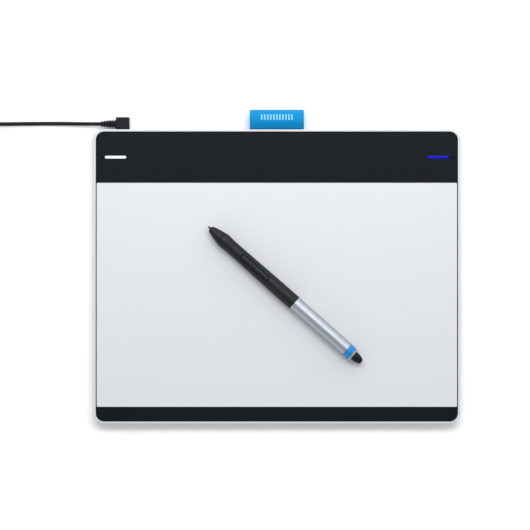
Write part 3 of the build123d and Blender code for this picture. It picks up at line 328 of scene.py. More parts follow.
def metal(name, color, roughness, flake=0.00012):
    """Metal or metallic paint: fine flakes and a soft variation in gloss."""
    finish = Finish(name, color, roughness, metallic=1.0)
    flakes = finish.noise(flake)
    cloud = finish.noise(grain=0.004)
    finish.shades(flakes, darker=0.94, lighter=1.05)
    finish.rough(cloud, roughness * 0.95, roughness * 1.05)
    finish.bump(flakes, height=0.000002)
    return finish.material


GLOW_TURN = 0.7 * MM


def lamp(name, color, glow, strength, upper=None):
    """A lit light guide, whose glow may turn to a second colour over its rear edge."""
    finish = Finish(name, color, 0.5, Specular_IOR_Level=0.1)
    cloud = finish.noise(grain=0.0012, detail=1.0)
    finish.shades(cloud, darker=0.96, lighter=1.04)
    shader = finish.shader
    shader.inputs["Emission Color"].default_value = glow
    shader.inputs["Emission Strength"].default_value = strength
    if upper:
        split = finish.node("ShaderNodeSeparateXYZ")
        finish.join(finish.place, split.inputs["Vector"])
        rise = finish.ramp(split.outputs["Y"], 0, 1, SLIT_Y, SLIT_Y + GLOW_TURN)
        finish.join(finish.mix(rise, glow, upper), shader.inputs["Emission Color"])
    return finish.material


WARP_PITCH, WEFT_PITCH = 0.42 * MM, 0.34 * MM
# The circle that the weave runs round: its middle's distance from the loop's rear, and its radius
WEAVE_MIDDLE, WEAVE_RADIUS = 6.9 * MM, 6.6 * MM
# The woven bars: half of a bar, of the pitch and of the row, then the row's place on the circle
BAR_HALF, BAR_HALF_PITCH, ROW_HALF = 0.5 * MM, 1.14 * MM, 12 * MM
ROW_AROUND, ROW_HALF_HIGH = 9.4 * MM, 2.1 * MM


def woven_finish():
    """Tight woven webbing: warp and weft threads that follow the loop round, with a row of pale woven bars."""
    color, pale = srgb(1, 142, 208), srgb(150, 214, 246)
    finish = Finish("loop_weave", color, 0.6, Specular_IOR_Level=0.15, Sheen_Weight=0.03, Sheen_Roughness=0.4)
    middle_y, middle_z = LOOP_HIGH.y - WEAVE_MIDDLE, (LOOP_LOW.z + LOOP_HIGH.z) / 2

    def math_node(operation, first, second=None):
        node = finish.node("ShaderNodeMath", operation=operation)
        for socket, value in zip(node.inputs, (first, second)):
            if isinstance(value, bpy.types.NodeSocket):
                finish.join(value, socket)
            elif value is not None:
                socket.default_value = value
        return node.outputs["Value"]

    split = finish.node("ShaderNodeSeparateXYZ")
    finish.join(finish.place, split.inputs["Vector"])
    across = split.outputs["X"]
    rise = math_node("SUBTRACT", split.outputs["Z"], middle_z)
    out = math_node("SUBTRACT", split.outputs["Y"], middle_y)
    around = math_node("MULTIPLY", math_node("ARCTAN2", rise, out), WEAVE_RADIUS)
    warp = math_node("PINGPONG", across, WARP_PITCH)
    weft = math_node("PINGPONG", around, WEFT_PITCH)
    warp_round = math_node("SINE", math_node("MULTIPLY", warp, math.pi / WARP_PITCH))
    weft_round = math_node("SINE", math_node("MULTIPLY", weft, math.pi / WEFT_PITCH))
    threads = math_node("MULTIPLY", warp_round, weft_round)
    bars = math_node("LESS_THAN", math_node("PINGPONG", across, BAR_HALF_PITCH), BAR_HALF)
    along_row = math_node("LESS_THAN", math_node("ABSOLUTE", across), ROW_HALF)
    in_row = math_node("COMPARE", around, ROW_AROUND)
    in_row.node.inputs[2].default_value = ROW_HALF_HIGH
    motif = math_node("MULTIPLY", math_node("MULTIPLY", bars, along_row), in_row)
    fuzz = finish.noise(grain=0.0006, detail=3.0, rough=0.7)
    blue = finish.mix(threads, scaled(color, 0.80), scaled(color, 1.12))
    finish.join(finish.mix(motif, blue, pale), finish.shader.inputs["Base Color"])
    finish.bump(threads, height=0.00010)
    finish.bump(fuzz, height=0.00003)
    return finish.material


def rubber_finish(name, color, roughness, spread=0.12, shine=0.25):
    """Soft rubber: matt, faintly dusty, with fine unevenness."""
    finish = Finish(name, color, roughness, Specular_IOR_Level=shine)
    dust = finish.noise(grain=0.006, detail=4.0, rough=0.65)
    pores = finish.noise(grain=0.00022)
    finish.shades(dust, 1 - spread, 1 + spread)
    finish.rough(dust, roughness * 0.9, min(1, roughness * 1.1))
    finish.bump(pores, height=0.000012)
    return finish.material


TRACKS_PER_METRE = 260
TRACK_GAP = 0.03


def board_finish():
    """Circuit board: green solder mask over a grid of tracks."""
    finish = Finish("board_mask", srgb(20, 92, 52), 0.35)
    brick = finish.node("ShaderNodeTexBrick")
    brick.inputs["Scale"].default_value = TRACKS_PER_METRE
    brick.inputs["Color1"].default_value = srgb(18, 84, 48)
    brick.inputs["Color2"].default_value = srgb(26, 104, 60)
    brick.inputs["Mortar"].default_value = srgb(60, 140, 84)
    brick.inputs["Mortar Size"].default_value = TRACK_GAP
    finish.join(finish.place, brick.inputs["Vector"])
    finish.join(brick.outputs["Color"], finish.shader.inputs["Base Color"])
    finish.bump(brick.outputs["Fac"], height=0.00003)
    return finish.material


def winding_finish():
    """Enamelled copper wire, turn by turn."""
    finish = Finish("copper_winding", srgb(176, 98, 52), 0.3, metallic=1.0)
    turns = finish.noise(grain=0.00018, detail=1.0, stretch=(0.2, 6, 1), turn=PEN_ANGLE)
    finish.shades(turns, darker=0.7, lighter=1.2)
    finish.bump(turns, height=0.00005)
    return finish.material


def make_materials():
    """Every finish, by the record's slot names and a few of their own."""
    return {
        "case_white": moulded("case_plastic", srgb(200, 203, 206), 0.35, grain=0.0005, height=0.000008,
                              spread=0.012),
        "cover_black": moulded("cover_plastic", srgb(18, 23, 27), 0.42, grain=0.00032, height=0.000022,
                               spread=0.05, Specular_IOR_Level=0.05),
        "sheet_grey": sheet_finish(),
        "mark_white": lamp("white_lamp", srgb(160, 160, 160), (1, 1, 1, 1), 0.56),
        "mark_blue": lamp("blue_lamp", srgb(2, 4, 40), srgb(0, 0, 205), 0.9, upper=srgb(16, 56, 205)),
        "board_green": board_finish(),
        "chip_black": moulded("chip_mould", srgb(34, 34, 36), 0.5),
        "film_amber": moulded("amber_film", srgb(186, 118, 44), 0.35, grain=0.002, height=0.00001, spread=0.1),
        "steel": metal("plated_steel", srgb(190, 192, 195), 0.28),
        "copper": winding_finish(),
        "ferrite": rubber_finish("ferrite_core", srgb(52, 52, 56), 0.6),
        "rubber_dark": rubber_finish("dark_rubber", srgb(16, 19, 23), 0.5, shine=0.18),
        "loop_blue": woven_finish(),
        "pen_black": rubber_finish("soft_touch", srgb(16, 18, 22), 0.46, spread=0.06, shine=0.26),
        "pen_silver": metal("silver_paint", srgb(168, 173, 180), 0.46, flake=0.00004),
        "pen_blue": moulded("blue_ring", srgb(0, 122, 192), 0.28, grain=0.001, height=0.000004, spread=0.05,
                            Specular_IOR_Level=0.3),
        "nib_black": moulded("nib_plastic", srgb(18, 19, 21), 0.4),
        "cable_black": rubber_finish("cable_jacket", srgb(20, 24, 28), 0.45, shine=0.13),
        "tongue_white": moulded("plug_insulator", srgb(232, 232, 228), 0.4),
    }


# ================================================================ mesh helpers
SMOOTH_BELOW = math.radians(38)
# Faces larger than this, in square metres, are flat
LARGE_FACE = 6e-6


def piece(name, mesh_source, material, body, replaces=()):
    """A finished object from a bmesh, riding on a body and standing for its CAD nodes."""
    bmesh.ops.recalc_face_normals(mesh_source, faces=mesh_source.faces[:])
    for face in mesh_source.faces:
        face.smooth = face.calc_area() < LARGE_FACE
    for edge in mesh_source.edges:
        edge.smooth = edge.calc_face_angle(math.pi) < SMOOTH_BELOW
    mesh = bpy.data.meshes.new(name)
    mesh_source.to_mesh(mesh)
    mesh_source.free()
    mesh.materials.append(material)
    made = bpy.data.objects.new(name, mesh)
    bpy.context.scene.collection.objects.link(made)
    if body:
        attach(made, body)
    if replaces:
        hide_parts(*replaces)
    return made


def prism(outline, low_z, high_z):
    """A bmesh slab over an outline of (x, y) points."""
    made = bmesh.new()
    base = made.faces.new([made.verts.new((x, y, low_z)) for x, y in outline])
    grown = bmesh.ops.extrude_face_region(made, geom=[base])
    top = [item for item in grown["geom"] if isinstance(item, bmesh.types.BMVert)]
    bmesh.ops.translate(made, verts=top, vec=(0, 0, high_z - low_z))
    return made


def soften(made, edges, width, segments=3):
    """Rounded edges."""
    bmesh.ops.bevel(made, geom=edges, offset=width, segments=segments, profile=0.5, affect="EDGES",
                    clamp_overlap=True)


def arc(center, radius, start, end, steps):
    """Points of an arc, angles in degrees."""
    angles = [math.radians(start + (end - start) * step / steps) for step in range(steps + 1)]
    return [(center[0] + radius * math.cos(angle), center[1] + radius * math.sin(angle)) for angle in angles]


def rounded_box(size, radius, steps=6):
    """The outline of a rounded rectangle round the origin."""
    half_x, half_y = size[0] / 2 - radius, size[1] / 2 - radius
    corners = ((half_x, half_y, 0), (-half_x, half_y, 90), (-half_x, -half_y, 180), (half_x, -half_y, 270))
    return [point for x, y, start in corners for point in arc((x, y), radius, start, start + 90, steps)]


def rounded_path(points, steps=4):
    """A smooth line through a few points, for turned profiles."""
    padded = [points[0]] + list(points) + [points[-1]]
    path = []
    for before, start, end, after in zip(padded, padded[1:], padded[2:], padded[3:]):
        for step in range(steps):
            t = step / steps
            path.append(tuple(0.5 * (2 * b + (c - a) * t + (2 * a - 5 * b + 4 * c - d) * t * t
                                     + (3 * b - a - 3 * c + d) * t ** 3)
                              for a, b, c, d in zip(before, start, end, after)))
    return path + [tuple(points[-1])]


def pen_point(along, radius, angle):
    """A point on the pen: along in millimetres, angle from straight up, towards the pen's side."""
    outward = PEN_UP * math.cos(angle) + PEN_SIDE * math.sin(angle)
    return PEN_TIP + PEN_DIRECTION * along * MM + outward * radius * MM


def skin(made, rings):
    """Faces between each ring of vertices and the next. A ring may be a single point."""
    count = max(len(ring) for ring in rings)
    for first, second in zip(rings, rings[1:]):
        for step in range(count):
            following = (step + 1) % count
            corners = [first[step % len(first)], first[following % len(first)],
                       second[following % len(second)], second[step % len(second)]]
            unique = list(dict.fromkeys(corners))
            if len(unique) > 2:
                made.faces.new(unique)


def full_turn(steps):
    """Angles all the way round."""
    return [2 * math.pi * step / steps for step in range(steps)]


def pen_lathe(profile, angles, shape=None):
    """A turned body on the pen's axis from (along, radius) points, closed where the radius is 0."""
    made = bmesh.new()
    rings = []
    for along, radius in profile:
        if radius == 0:
            rings.append([made.verts.new(pen_point(along, 0, 0))])
            continue
        reached = [shape(along, radius, angle) if shape else radius for angle in angles]
        rings.append([made.verts.new(pen_point(along, out, angle)) for out, angle in zip(reached, angles)])
    skin(made, rings)
    return made


# ================================================================ cable
# The coil: the columns of each layer in the order they are wound, and how each turn is drawn
COIL_LAYERS = ((0, 1, 2, 3), (3, 2, 1, 0), (0, 1, 2), (2, 1, 0))
POINTS_PER_TURN = 20
STEP_OVER_FROM = 0.8
LAST_PART_TURN = 0.25

RELIEF_RINGS = 6
RELIEF_THIN_END = 1.75 * MM
RELIEF_SEGMENTS = 40
# One ring of the sleeve: share of its length, and how far it is let in, in millimetres
RELIEF_RING = ((0.06, 0.12), (0.14, 0), (0.58, 0), (0.66, 0.12), (0.72, 0.65), (0.97, 0.65))
SLEEVE_CORE = CORD_RADIUS + 0.05 * MM

TIE_CORNER = 2.1 * MM
TIE_THICKNESS = 0.7 * MM
TIE_EDGE = 0.06
TIE_EDGE_SHRINK = 0.025

# The computer plug: distance along it, half width and half height, in millimetres
A_PLUG_LENGTH = 28.0
A_PLUG_NECK = 8
A_PLUG_STATIONS = ((0.0, 1.8, 1.8), (7.2, 2.7, 2.7), (8.4, 5.2, 3.1), (9.6, 7.4, 3.8), (12.0, 7.9, 4.0),
                   (14.5, 7.9, 4.0), (15.5, 7.5, 3.85), (22.0, 7.5, 3.85), (23.0, 7.9, 4.0), (26.8, 7.9, 4.0),
                   (27.7, 7.5, 3.6), (A_PLUG_LENGTH, 6.8, 3.0))


def coil_turns():
    """The wound turns: four layers, each laid side by side, stepping over in one sector of every turn."""
    center_x, center_y = (COIL_LOW.x + COIL_HIGH.x) / 2, (COIL_LOW.y + COIL_HIGH.y) / 2
    outer = (COIL_HIGH.x - COIL_LOW.x) / 2 - CORD_RADIUS
    stations = [(outer - column * CORD_DIAMETER, CORD_RADIUS + layer * CORD_DIAMETER)
                for layer, columns in enumerate(COIL_LAYERS) for column in columns]
    stations.append(stations[-1])
    # A control point stands a little outside the line that it draws
    outset = 1 / math.cos(math.pi / POINTS_PER_TURN)
    turns = len(stations) - 1 + LAST_PART_TURN
    points = []
    for count in range(int(turns * POINTS_PER_TURN) + 1):
        whole, part = divmod(count / POINTS_PER_TURN, 1)
        here = stations[min(int(whole), len(stations) - 1)]
        there = stations[min(int(whole) + 1, len(stations) - 1)]
        blend = max(0.0, (part - STEP_OVER_FROM) / (1 - STEP_OVER_FROM))
        blend = blend * blend * (3 - 2 * blend)
        radius = (here[0] + (there[0] - here[0]) * blend) * outset
        height = here[1] + (there[1] - here[1]) * blend
        angle = math.pi / 2 + 2 * math.pi * count / POINTS_PER_TURN
        points.append((center_x + radius * math.cos(angle), center_y + radius * math.sin(angle), height))
    return points


def add_cord(materials):
    """The whole cable as one smooth curve: along the desk, round the coil and on to the computer plug."""
    points = CORD_ROUTE + coil_turns() + TAIL_ROUTE
    curve = bpy.data.curves.new("usb_cable_jacket", "CURVE")
    curve.dimensions = "3D"
    curve.resolution_u = 4
    curve.bevel_depth = CORD_RADIUS
    curve.bevel_resolution = 5
    curve.use_fill_caps = True
    spline = curve.splines.new("NURBS")
    spline.points.add(len(points) - 1)
    for control, point in zip(spline.points, points):
        control.co = (*point, 1)
    spline.order_u = 3
    spline.use_endpoint_u = True
    cable = bpy.data.objects.new("usb_cable_jacket", curve)
    bpy.context.scene.collection.objects.link(cable)
    curve.materials.append(materials["cable_black"])
    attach(cable, "cable")
    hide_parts("usb_cable", "usb_cable_tail", "cable_coil")
    return cable


def stacked(outlines, place):
    """A closed body through rounded-box outlines of equal point counts, each placed by a function."""
    made = bmesh.new()
    loops = [[made.verts.new(place(level, u, v)) for u, v in outline] for level, outline in outlines]
    skin(made, loops)
    made.faces.new(loops[0])
    made.faces.new(loops[-1])
    return made


def add_plug_moulding(materials):
    """The right-angle plug: a block with soft edges and a shallow grip panel with three ribs on its top."""
    width, depth, height = PLUG_HIGH - PLUG_LOW
    center = (PLUG_LOW + PLUG_HIGH) / 2
    edge, corner = 0.5 * MM, 0.7 * MM
    panel, step_down, slope = 1.3 * MM, 0.25 * MM, 0.15 * MM
    rib, rib_spacing, rib_inset = 0.45 * MM, 1.8 * MM, 0.6 * MM
    half = height / 2
    turn = edge * 0.3
    levels = [(-half, edge), (-half + turn, turn), (-half + edge, 0), (half - edge, 0),
              (half - turn, turn), (half, edge), (half, panel), (half - step_down, panel + slope)]
    outlines = [(level, rounded_box((width - 2 * inset, depth - 2 * inset), corner, 5))
                for level, inset in levels]
    made = stacked(outlines, lambda level, x, y: center + Vector((x, y, level)))
    for row in (-1, 0, 1):
        outline = rounded_box((width - 2 * panel - 2 * rib_inset, 2 * rib), rib * 0.98, 5)
        ridge = prism(outline, half - 2 * step_down, half)
        bmesh.ops.translate(ridge, verts=ridge.verts[:], vec=center + Vector((0, row * rib_spacing, 0)))
        mesh = bpy.data.meshes.new("ridge")
        ridge.to_mesh(mesh)
        ridge.free()
        made.from_mesh(mesh)
        bpy.data.meshes.remove(mesh)
    return piece("usb_plug_moulding", made, materials["cable_black"], "cable", ["usb_plug_body"])


def add_strain_relief(materials):
    """The cable's sleeve: rings that get smaller away from the plug."""
    start_x, end_x = RELIEF_HIGH.x, RELIEF_LOW.x
    center_y, center_z = (RELIEF_LOW.y + RELIEF_HIGH.y) / 2, (RELIEF_LOW.z + RELIEF_HIGH.z) / 2
    thick_end = (RELIEF_HIGH.z - RELIEF_LOW.z) / 2
    profile = [(0.0, 0.0), (0.0, thick_end)]
    for ring in range(RELIEF_RINGS):
        for share, dip in RELIEF_RING:
            along = (ring + share) / RELIEF_RINGS
            radius = thick_end + (RELIEF_THIN_END - thick_end) * along ** 3 - dip * MM
            profile.append((along, max(radius, SLEEVE_CORE)))
    profile += [(1.0, SLEEVE_CORE), (1.0, 0.0)]
    made = bmesh.new()
    loops = []
    for along, radius in profile:
        x = start_x + (end_x - start_x) * along
        loops.append([made.verts.new((x, center_y + radius * math.cos(angle),
                                      center_z + radius * math.sin(angle)))
                      for angle in full_turn(RELIEF_SEGMENTS if radius else 1)])
    skin(made, loops)
    return piece("cable_sleeve", made, materials["cable_black"], "cable",
                 ["cable_strain_relief"])


def add_tie(materials):
    """A hook-and-loop tie round the bundle of turns."""
    width = TIE_HIGH.x - TIE_LOW.x
    center_y, center_z = (TIE_LOW.y + TIE_HIGH.y) / 2, (TIE_LOW.z + TIE_HIGH.z) / 2
    size_y, size_z = TIE_HIGH.y - TIE_LOW.y, TIE_HIGH.z - TIE_LOW.z
    outer = rounded_box((size_y, size_z), TIE_CORNER)
    inner = rounded_box((size_y - 2 * TIE_THICKNESS, size_z - 2 * TIE_THICKNESS), TIE_CORNER - TIE_THICKNESS)
    made = bmesh.new()
    sides = []
    for x in (TIE_LOW.x, TIE_LOW.x + width * TIE_EDGE, TIE_HIGH.x - width * TIE_EDGE, TIE_HIGH.x):
        kept = 1 - TIE_EDGE_SHRINK if x in (TIE_LOW.x, TIE_HIGH.x) else 1
        sides.append(([made.verts.new((x, center_y + y * kept, center_z + z * kept)) for y, z in outer],
                      [made.verts.new((x, center_y + y, center_z + z)) for y, z in inner]))
    count = len(outer)
    for step in range(count):
        following = (step + 1) % count
        for first, second in zip(sides, sides[1:]):
            made.faces.new([first[0][step], first[0][following], second[0][following], second[0][step]])
            made.faces.new([first[1][following], first[1][step], second[1][step], second[1][following]])
        for outer_ring, inner_ring in (sides[0], sides[-1]):
            made.faces.new([outer_ring[step], inner_ring[step], inner_ring[following], outer_ring[following]])
    return piece("cable_wrap", made, materials["rubber_dark"], "cable", ["cable_tie"])


def add_computer_plug(materials):
    """The computer plug's moulding: a tapered neck and a soft block with a shallow waist to hold it by."""
    center_z = (A_PLUG_LOW.z + A_PLUG_HIGH.z) / 2
    rear_y, front_y = A_PLUG_HIGH.y, A_PLUG_LOW.y
    outlines = []
    for along, half_x, half_z in A_PLUG_STATIONS:
        radius = min(half_x, half_z) * (0.999 if along < A_PLUG_NECK else 0.6)
        outlines.append((along, rounded_box((2 * half_x * MM, 2 * half_z * MM), radius * MM)))

    def place(along, x, z):
        return (TAIL_X + x, rear_y + (front_y - rear_y) * along / A_PLUG_LENGTH, center_z + z)

    made = stacked(outlines, place)
    return piece("computer_plug_moulding", made, materials["cable_black"], "cable",
                 ["usb_a_plug_body"])


def add_cable(materials):
    """The cable's cord, and its plugs, sleeve and tie."""
    cable = add_cord(materials)
    with_pieces = [add_plug_moulding(materials), add_strain_relief(materials), add_tie(materials),
                   add_computer_plug(materials), "usb_plug_shell", "usb_a_plug_shell", "usb_a_plug_tongue"]


# ================================================================ corner keys and lit marks
SLIT = 0.65 * MM
SEAM = 0.004 * MM
RIM_GAP = 0.05 * MM  # in from the cover's own edge
KEY_LENGTH = 43 * MM
KEY_SKIN = 1.6 * MM
KEY_CORNER = 6.3 * MM
KEY_FRONT_GAP = 0.75 * MM
KEY_ROUND = 0.45 * MM
KEY_ROUND_WITHIN = 0.2 * MM
BEND_LENGTH = 14 * MM
BEND_PARTS = 8
MARK_GAP = 0.15 * MM
MARK_DEPTH, MARK_SINK, MARK_ROUND = 1.2 * MM, 0.02 * MM, 0.25 * MM


def key_outline(side, row):
    """Outline of one corner key, on the right: it is mirrored for the left."""
    inner_x = COVER_HALF_X - KEY_LENGTH + SEAM
    outer_x = COVER_HALF_X - RIM_GAP
    mark_inner, mark_outer = abs(MARK_HIGH.x), abs(MARK_LOW.x)
    radius = (MARK_HIGH.y - MARK_LOW.y) / 2 + MARK_GAP
    left_center, right_center = mark_inner + radius - MARK_GAP, mark_outer - radius + MARK_GAP
    reach = math.asin(SLIT / 2 / radius)
    edge_y = COVER_HIGH.y - RIM_GAP - SLIT_Y if row > 0 else SLIT_Y - BAND_FRONT_Y - KEY_FRONT_GAP - SEAM
    points = [(inner_x, SEAM), (left_center - radius, SEAM)]
    points += arc((left_center, 0), radius, 179, 90, 8)
    points += arc((right_center, 0), radius, 90, math.degrees(reach), 8)
    points.append((outer_x, SLIT / 2))
    if row > 0:
        points += arc((outer_x - KEY_CORNER, edge_y - KEY_CORNER), KEY_CORNER, 0, 90, 10)
    else:
        points.append((outer_x, edge_y))
    points.append((inner_x, edge_y))
    return [(side * x, SLIT_Y + row * y) for x, y in points]


def add_key(name, side, row, materials):
    """One corner key: the cover's own skin, cut across into parts over the length near its inner end where it
    would bend.
    """
    made = prism(key_outline(side, row), TOP_Z - KEY_SKIN, TOP_Z)
    top_edges = [edge for edge in made.edges if all(abs(vert.co.z - TOP_Z) < 1e-7 for vert in edge.verts)]
    inner_x = COVER_HALF_X - KEY_LENGTH

    def on_rim(edge):
        """Whether an edge lies at the cover's side, at its rear or round its corner."""
        middle = (edge.verts[0].co + edge.verts[1].co) / 2
        in_x, in_y = COVER_HALF_X - abs(middle.x), COVER_HIGH.y - middle.y
        return min(in_x, in_y) < KEY_ROUND_WITHIN or max(in_x, in_y) < KEY_CORNER

    soften(made, [edge for edge in top_edges if on_rim(edge)], KEY_ROUND, 4)
    for cut in range(1, BEND_PARTS + 1):
        x = side * (inner_x + BEND_LENGTH * cut / BEND_PARTS)
        bmesh.ops.bisect_plane(made, geom=made.verts[:] + made.edges[:] + made.faces[:], plane_co=(x, 0, 0),
                               plane_no=(1, 0, 0))
    key = piece(f"key_skin_{name}", made, materials["cover_black"], None,
                [f"express_key_{name}"])
    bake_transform(key)
    return key


def add_mark(name, slot, materials):
    """A lit mark: a pill with softly rounded edges, let into the cover."""
    low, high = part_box(name)
    radius = (high.y - low.y) / 2
    half = (high.x - low.x) / 2 - radius
    center_x = (low.x + high.x) / 2
    outline = arc((half, 0), radius, -90, 90, 14) + arc((-half, 0), radius, 90, 270, 14)
    made = prism([(center_x + x, SLIT_Y + y) for x, y in outline], TOP_Z - MARK_DEPTH, TOP_Z - MARK_SINK)
    top_edges = [edge for edge in made.edges if all(vert.co.z > TOP_Z - MARK_ROUND for vert in edge.verts)]
    soften(made, top_edges, MARK_ROUND)
    return piece(name.replace("light_guide", "lit_mark"), made, materials[slot], "tablet", [name])


# ================================================================ pen loop
WEBBING_HALF = 0.5 * MM
LOOP_HALF_DEPTH = 6.4 * MM
# The upper run from inside the case: out from the rear wall, and above the loop's middle
LOOP_RUN = ((-3 * MM, 0.55 * MM), (0.2 * MM, 0.62 * MM), (1.1 * MM, 1.9 * MM))
LOOP_ROUND, LOOP_STEPS = 140, 26
LOOP_COLUMNS = 44
# The selvages, as shares of half the width, and how they differ from the rest
SELVAGE, GROOVE_AT, GROOVE_WIDE = 0.93, 0.9, 0.02
SELVAGE_THINNER, GROOVE_SINK = 0.45, 0.06
RIPPLE, RIPPLE_STEP = 0.01 * MM, 0.7


def loop_profile():
    """The loop's middle line in the Y-Z plane: out of the case, round and back in, in metres."""
    middle_z = (LOOP_LOW.z + LOOP_HIGH.z) / 2
    half_z = (LOOP_HIGH.z - LOOP_LOW.z) / 2 - WEBBING_HALF
    center_y = LOOP_HIGH.y - WEBBING_HALF - LOOP_HALF_DEPTH
    upper = [(CASE_HIGH.y + out, middle_z + rise) for out, rise in LOOP_RUN]
    ring = arc((0, 0), 1, LOOP_ROUND, -LOOP_ROUND, LOOP_STEPS)
    around = [(center_y + y * LOOP_HALF_DEPTH, middle_z + z * half_z) for y, z in ring]
    lower = [(y, 2 * middle_z - z) for y, z in reversed(upper)]
    return upper + around + lower


def add_pen_loop(materials):
    """Woven webbing folded into a loop, with a groove beside each selvage and slightly uneven edges."""
    path = rounded_path(loop_profile(), 3)
    half_width = (LOOP_HIGH.x - LOOP_LOW.x) / 2
    made = bmesh.new()
    sides = []
    normals = []
    for index in range(len(path)):
        before, after = path[max(0, index - 1)], path[min(len(path) - 1, index + 1)]
        run = Vector((after[0] - before[0], after[1] - before[1])).normalized()
        normals.append(Vector((-run.y, run.x)))
    for face in (1, -1):
        grid = []
        for index, ((y, z), normal) in enumerate(zip(path, normals)):
            row = []
            for column in range(LOOP_COLUMNS + 1):
                share = column / LOOP_COLUMNS * 2 - 1
                edge = max(0.0, (abs(share) - SELVAGE) / (1 - SELVAGE))
                half = 0.5 * (1 - SELVAGE_THINNER * edge ** 3)
                groove = GROOVE_SINK * math.exp(-((abs(share) - GROOVE_AT) / GROOVE_WIDE) ** 2)
                shift = face * (half - groove) * MM
                ripple = RIPPLE * math.sin(index * RIPPLE_STEP) * edge * (1 if share > 0 else -1)
                row.append(made.verts.new((share * half_width + ripple, y + normal.x * shift,
                                           z + normal.y * shift)))
            grid.append(row)
        sides.append(grid)
    for grid, flip in ((sides[0], False), (sides[1], True)):
        for first, second in zip(grid, grid[1:]):
            for column in range(LOOP_COLUMNS):
                corners = [first[column], first[column + 1], second[column + 1], second[column]]
                made.faces.new(corners[::-1] if flip else corners)
    for column in (0, LOOP_COLUMNS):
        for index in range(len(path) - 1):
            made.faces.new([sides[0][index][column], sides[1][index][column], sides[1][index + 1][column],
                            sides[0][index + 1][column]])
    for index in (0, len(path) - 1):
        for column in range(LOOP_COLUMNS):
            made.faces.new([sides[0][index][column], sides[0][index][column + 1], sides[1][index][column + 1],
                            sides[1][index][column]])
    loop = piece("loop_webbing", made, materials["loop_blue"], "tablet", ["pen_loop"])
    return loop


# ================================================================ pen
# Profiles: distance from the tip of the nib and radius, in millimetres
GRIP_START, GRIP_END = 13.7, 86.7
GRIP_POINTS = [(13.75, 5.0), (13.95, 5.2), (15.0, 5.4), (17.0, 5.55), (20.0, 5.35), (23.5, 5.17), (30.0, 5.18),
               (45.0, 5.35), (60.0, 5.55), (74.0, 5.65), (86.2, 5.65), (86.6, 5.5), (GRIP_END, 5.2)]
CONE_POINTS = [(2.4, 1.5), (2.55, 1.75), (3.1, 2.25), (4.5, 3.0), (6.8, 3.62), (9.1, 4.2), (11.4, 4.72),
               (13.2, 5.05), (13.5, 4.98), (13.6, 4.75)]
NIB = [(0.0, 0.0), (0.08, 0.34), (0.25, 0.53), (0.55, 0.66), (1.4, 0.78), (3.2, 0.9), (12.0, 0.9), (12.0, 0.0)]
CONE = [(2.4, 0.0)] + rounded_path(CONE_POINTS, 5) + [(13.6, 0.0)]
BARREL = [(86.75, 0.0), (86.75, 5.3), (86.9, 5.46), (87.2, 5.5), (113.0, 5.43), (139.9, 5.35), (140.15, 5.3),
          (140.25, 5.15), (140.25, 0.0)]
RING = [(140.35, 0.0), (140.35, 5.05), (140.5, 5.18), (140.8, 5.22), (144.5, 5.22), (144.85, 5.15),
        (144.95, 5.0), (144.95, 0.0)]
CAP = [(145.05, 0.0), (145.05, 4.95), (145.2, 5.1), (145.6, 5.08), (146.2, 4.85), (146.7, 4.5), (146.88, 4.15),
       (146.7, 3.75), (145.2, 3.7), (145.2, 0.0)]
ERASER_START, ERASER_START_RADIUS, ERASER_RADIUS = 145.9, 3.45, 3.5
ERASER_BLUNT = 0.62  # below 1 makes the eraser's end blunter than round

# The groove round the side switch, in millimetres: how deep, how wide its slope, and where the slope starts
GROOVE_DEPTH, GROOVE_SLOPE, GROOVE_START = 1.5, 0.3, 0.12
GROOVE_PAST = 0.6  # how far finer faces go on past the switch
FINE_ANGLE = math.radians(33)

# The side switch, in millimetres
SWITCH_GAP = 0.42
SWITCH_BED_RADIUS, SWITCH_PROUD, SWITCH_UNDER = 5.32, 0.12, 3.9
SWITCH_CROWN, SWITCH_CROWN_POWER = 0.30, 0.8
SWITCH_DISH, SWITCH_DISH_LENGTH = 0.22, 3.2
SWITCH_RINGS = 9
SWITCH_LONG_STEPS = 36


def slot_depth(along, radius, angle):
    """How far the grip is let in round its side switch."""
    if math.cos(angle) <= 0:
        return 0.0
    straight = (SWITCH_LENGTH - SWITCH_WIDTH) / 2
    past = max(0.0, abs(along - SWITCH_MIDDLE) - straight)
    distance = math.hypot(past, radius * math.sin(angle)) - SWITCH_WIDTH / 2
    share = min(1.0, max(0.0, (GROOVE_START - distance) / GROOVE_SLOPE))
    return GROOVE_DEPTH * share * share * (3 - 2 * share)


def grip_radius(along, radius, angle):
    """The grip's radius with the groove taken off."""
    return radius - slot_depth(along, radius, angle)


def add_grip(materials):
    """The soft front half: a waisted body with a groove for the side switch, and finer faces near it."""
    coarse = rounded_path(GRIP_POINTS, 6)
    reach = SWITCH_LENGTH / 2 + GROOVE_PAST
    round_end = reach - SWITCH_WIDTH / 2 - GROOVE_PAST

    def radius_at(along):
        """The profile's radius between its points."""
        return next(r0 + (r1 - r0) * (along - a0) / (a1 - a0)
                    for (a0, r0), (a1, r1) in zip(coarse, coarse[1:]) if a0 <= along <= a1)

    end_steps, middle_steps = 56, 24
    offsets = [-reach + (reach - round_end) * step / end_steps for step in range(end_steps)]
    offsets += [-round_end + 2 * round_end * step / middle_steps for step in range(middle_steps)]
    offsets += [round_end + (reach - round_end) * step / end_steps for step in range(end_steps + 1)]
    fine = [(SWITCH_MIDDLE + offset, radius_at(SWITCH_MIDDLE + offset)) for offset in offsets]
    profile = [(GRIP_START, 0.0)] + [point for point in coarse if point[0] < fine[0][0]] + fine
    profile += [point for point in coarse if point[0] > fine[-1][0]] + [(GRIP_END, 0.0)]
    near_steps, far_steps = 110, 80
    angles = [-FINE_ANGLE + 2 * FINE_ANGLE * step / near_steps for step in range(near_steps)]
    angles += [FINE_ANGLE + (2 * math.pi - 2 * FINE_ANGLE) * step / far_steps for step in range(far_steps)]
    made = pen_lathe(profile, angles, grip_radius)
    return piece("grip_skin", made, materials["pen_black"], "pen", ["pen_grip"])


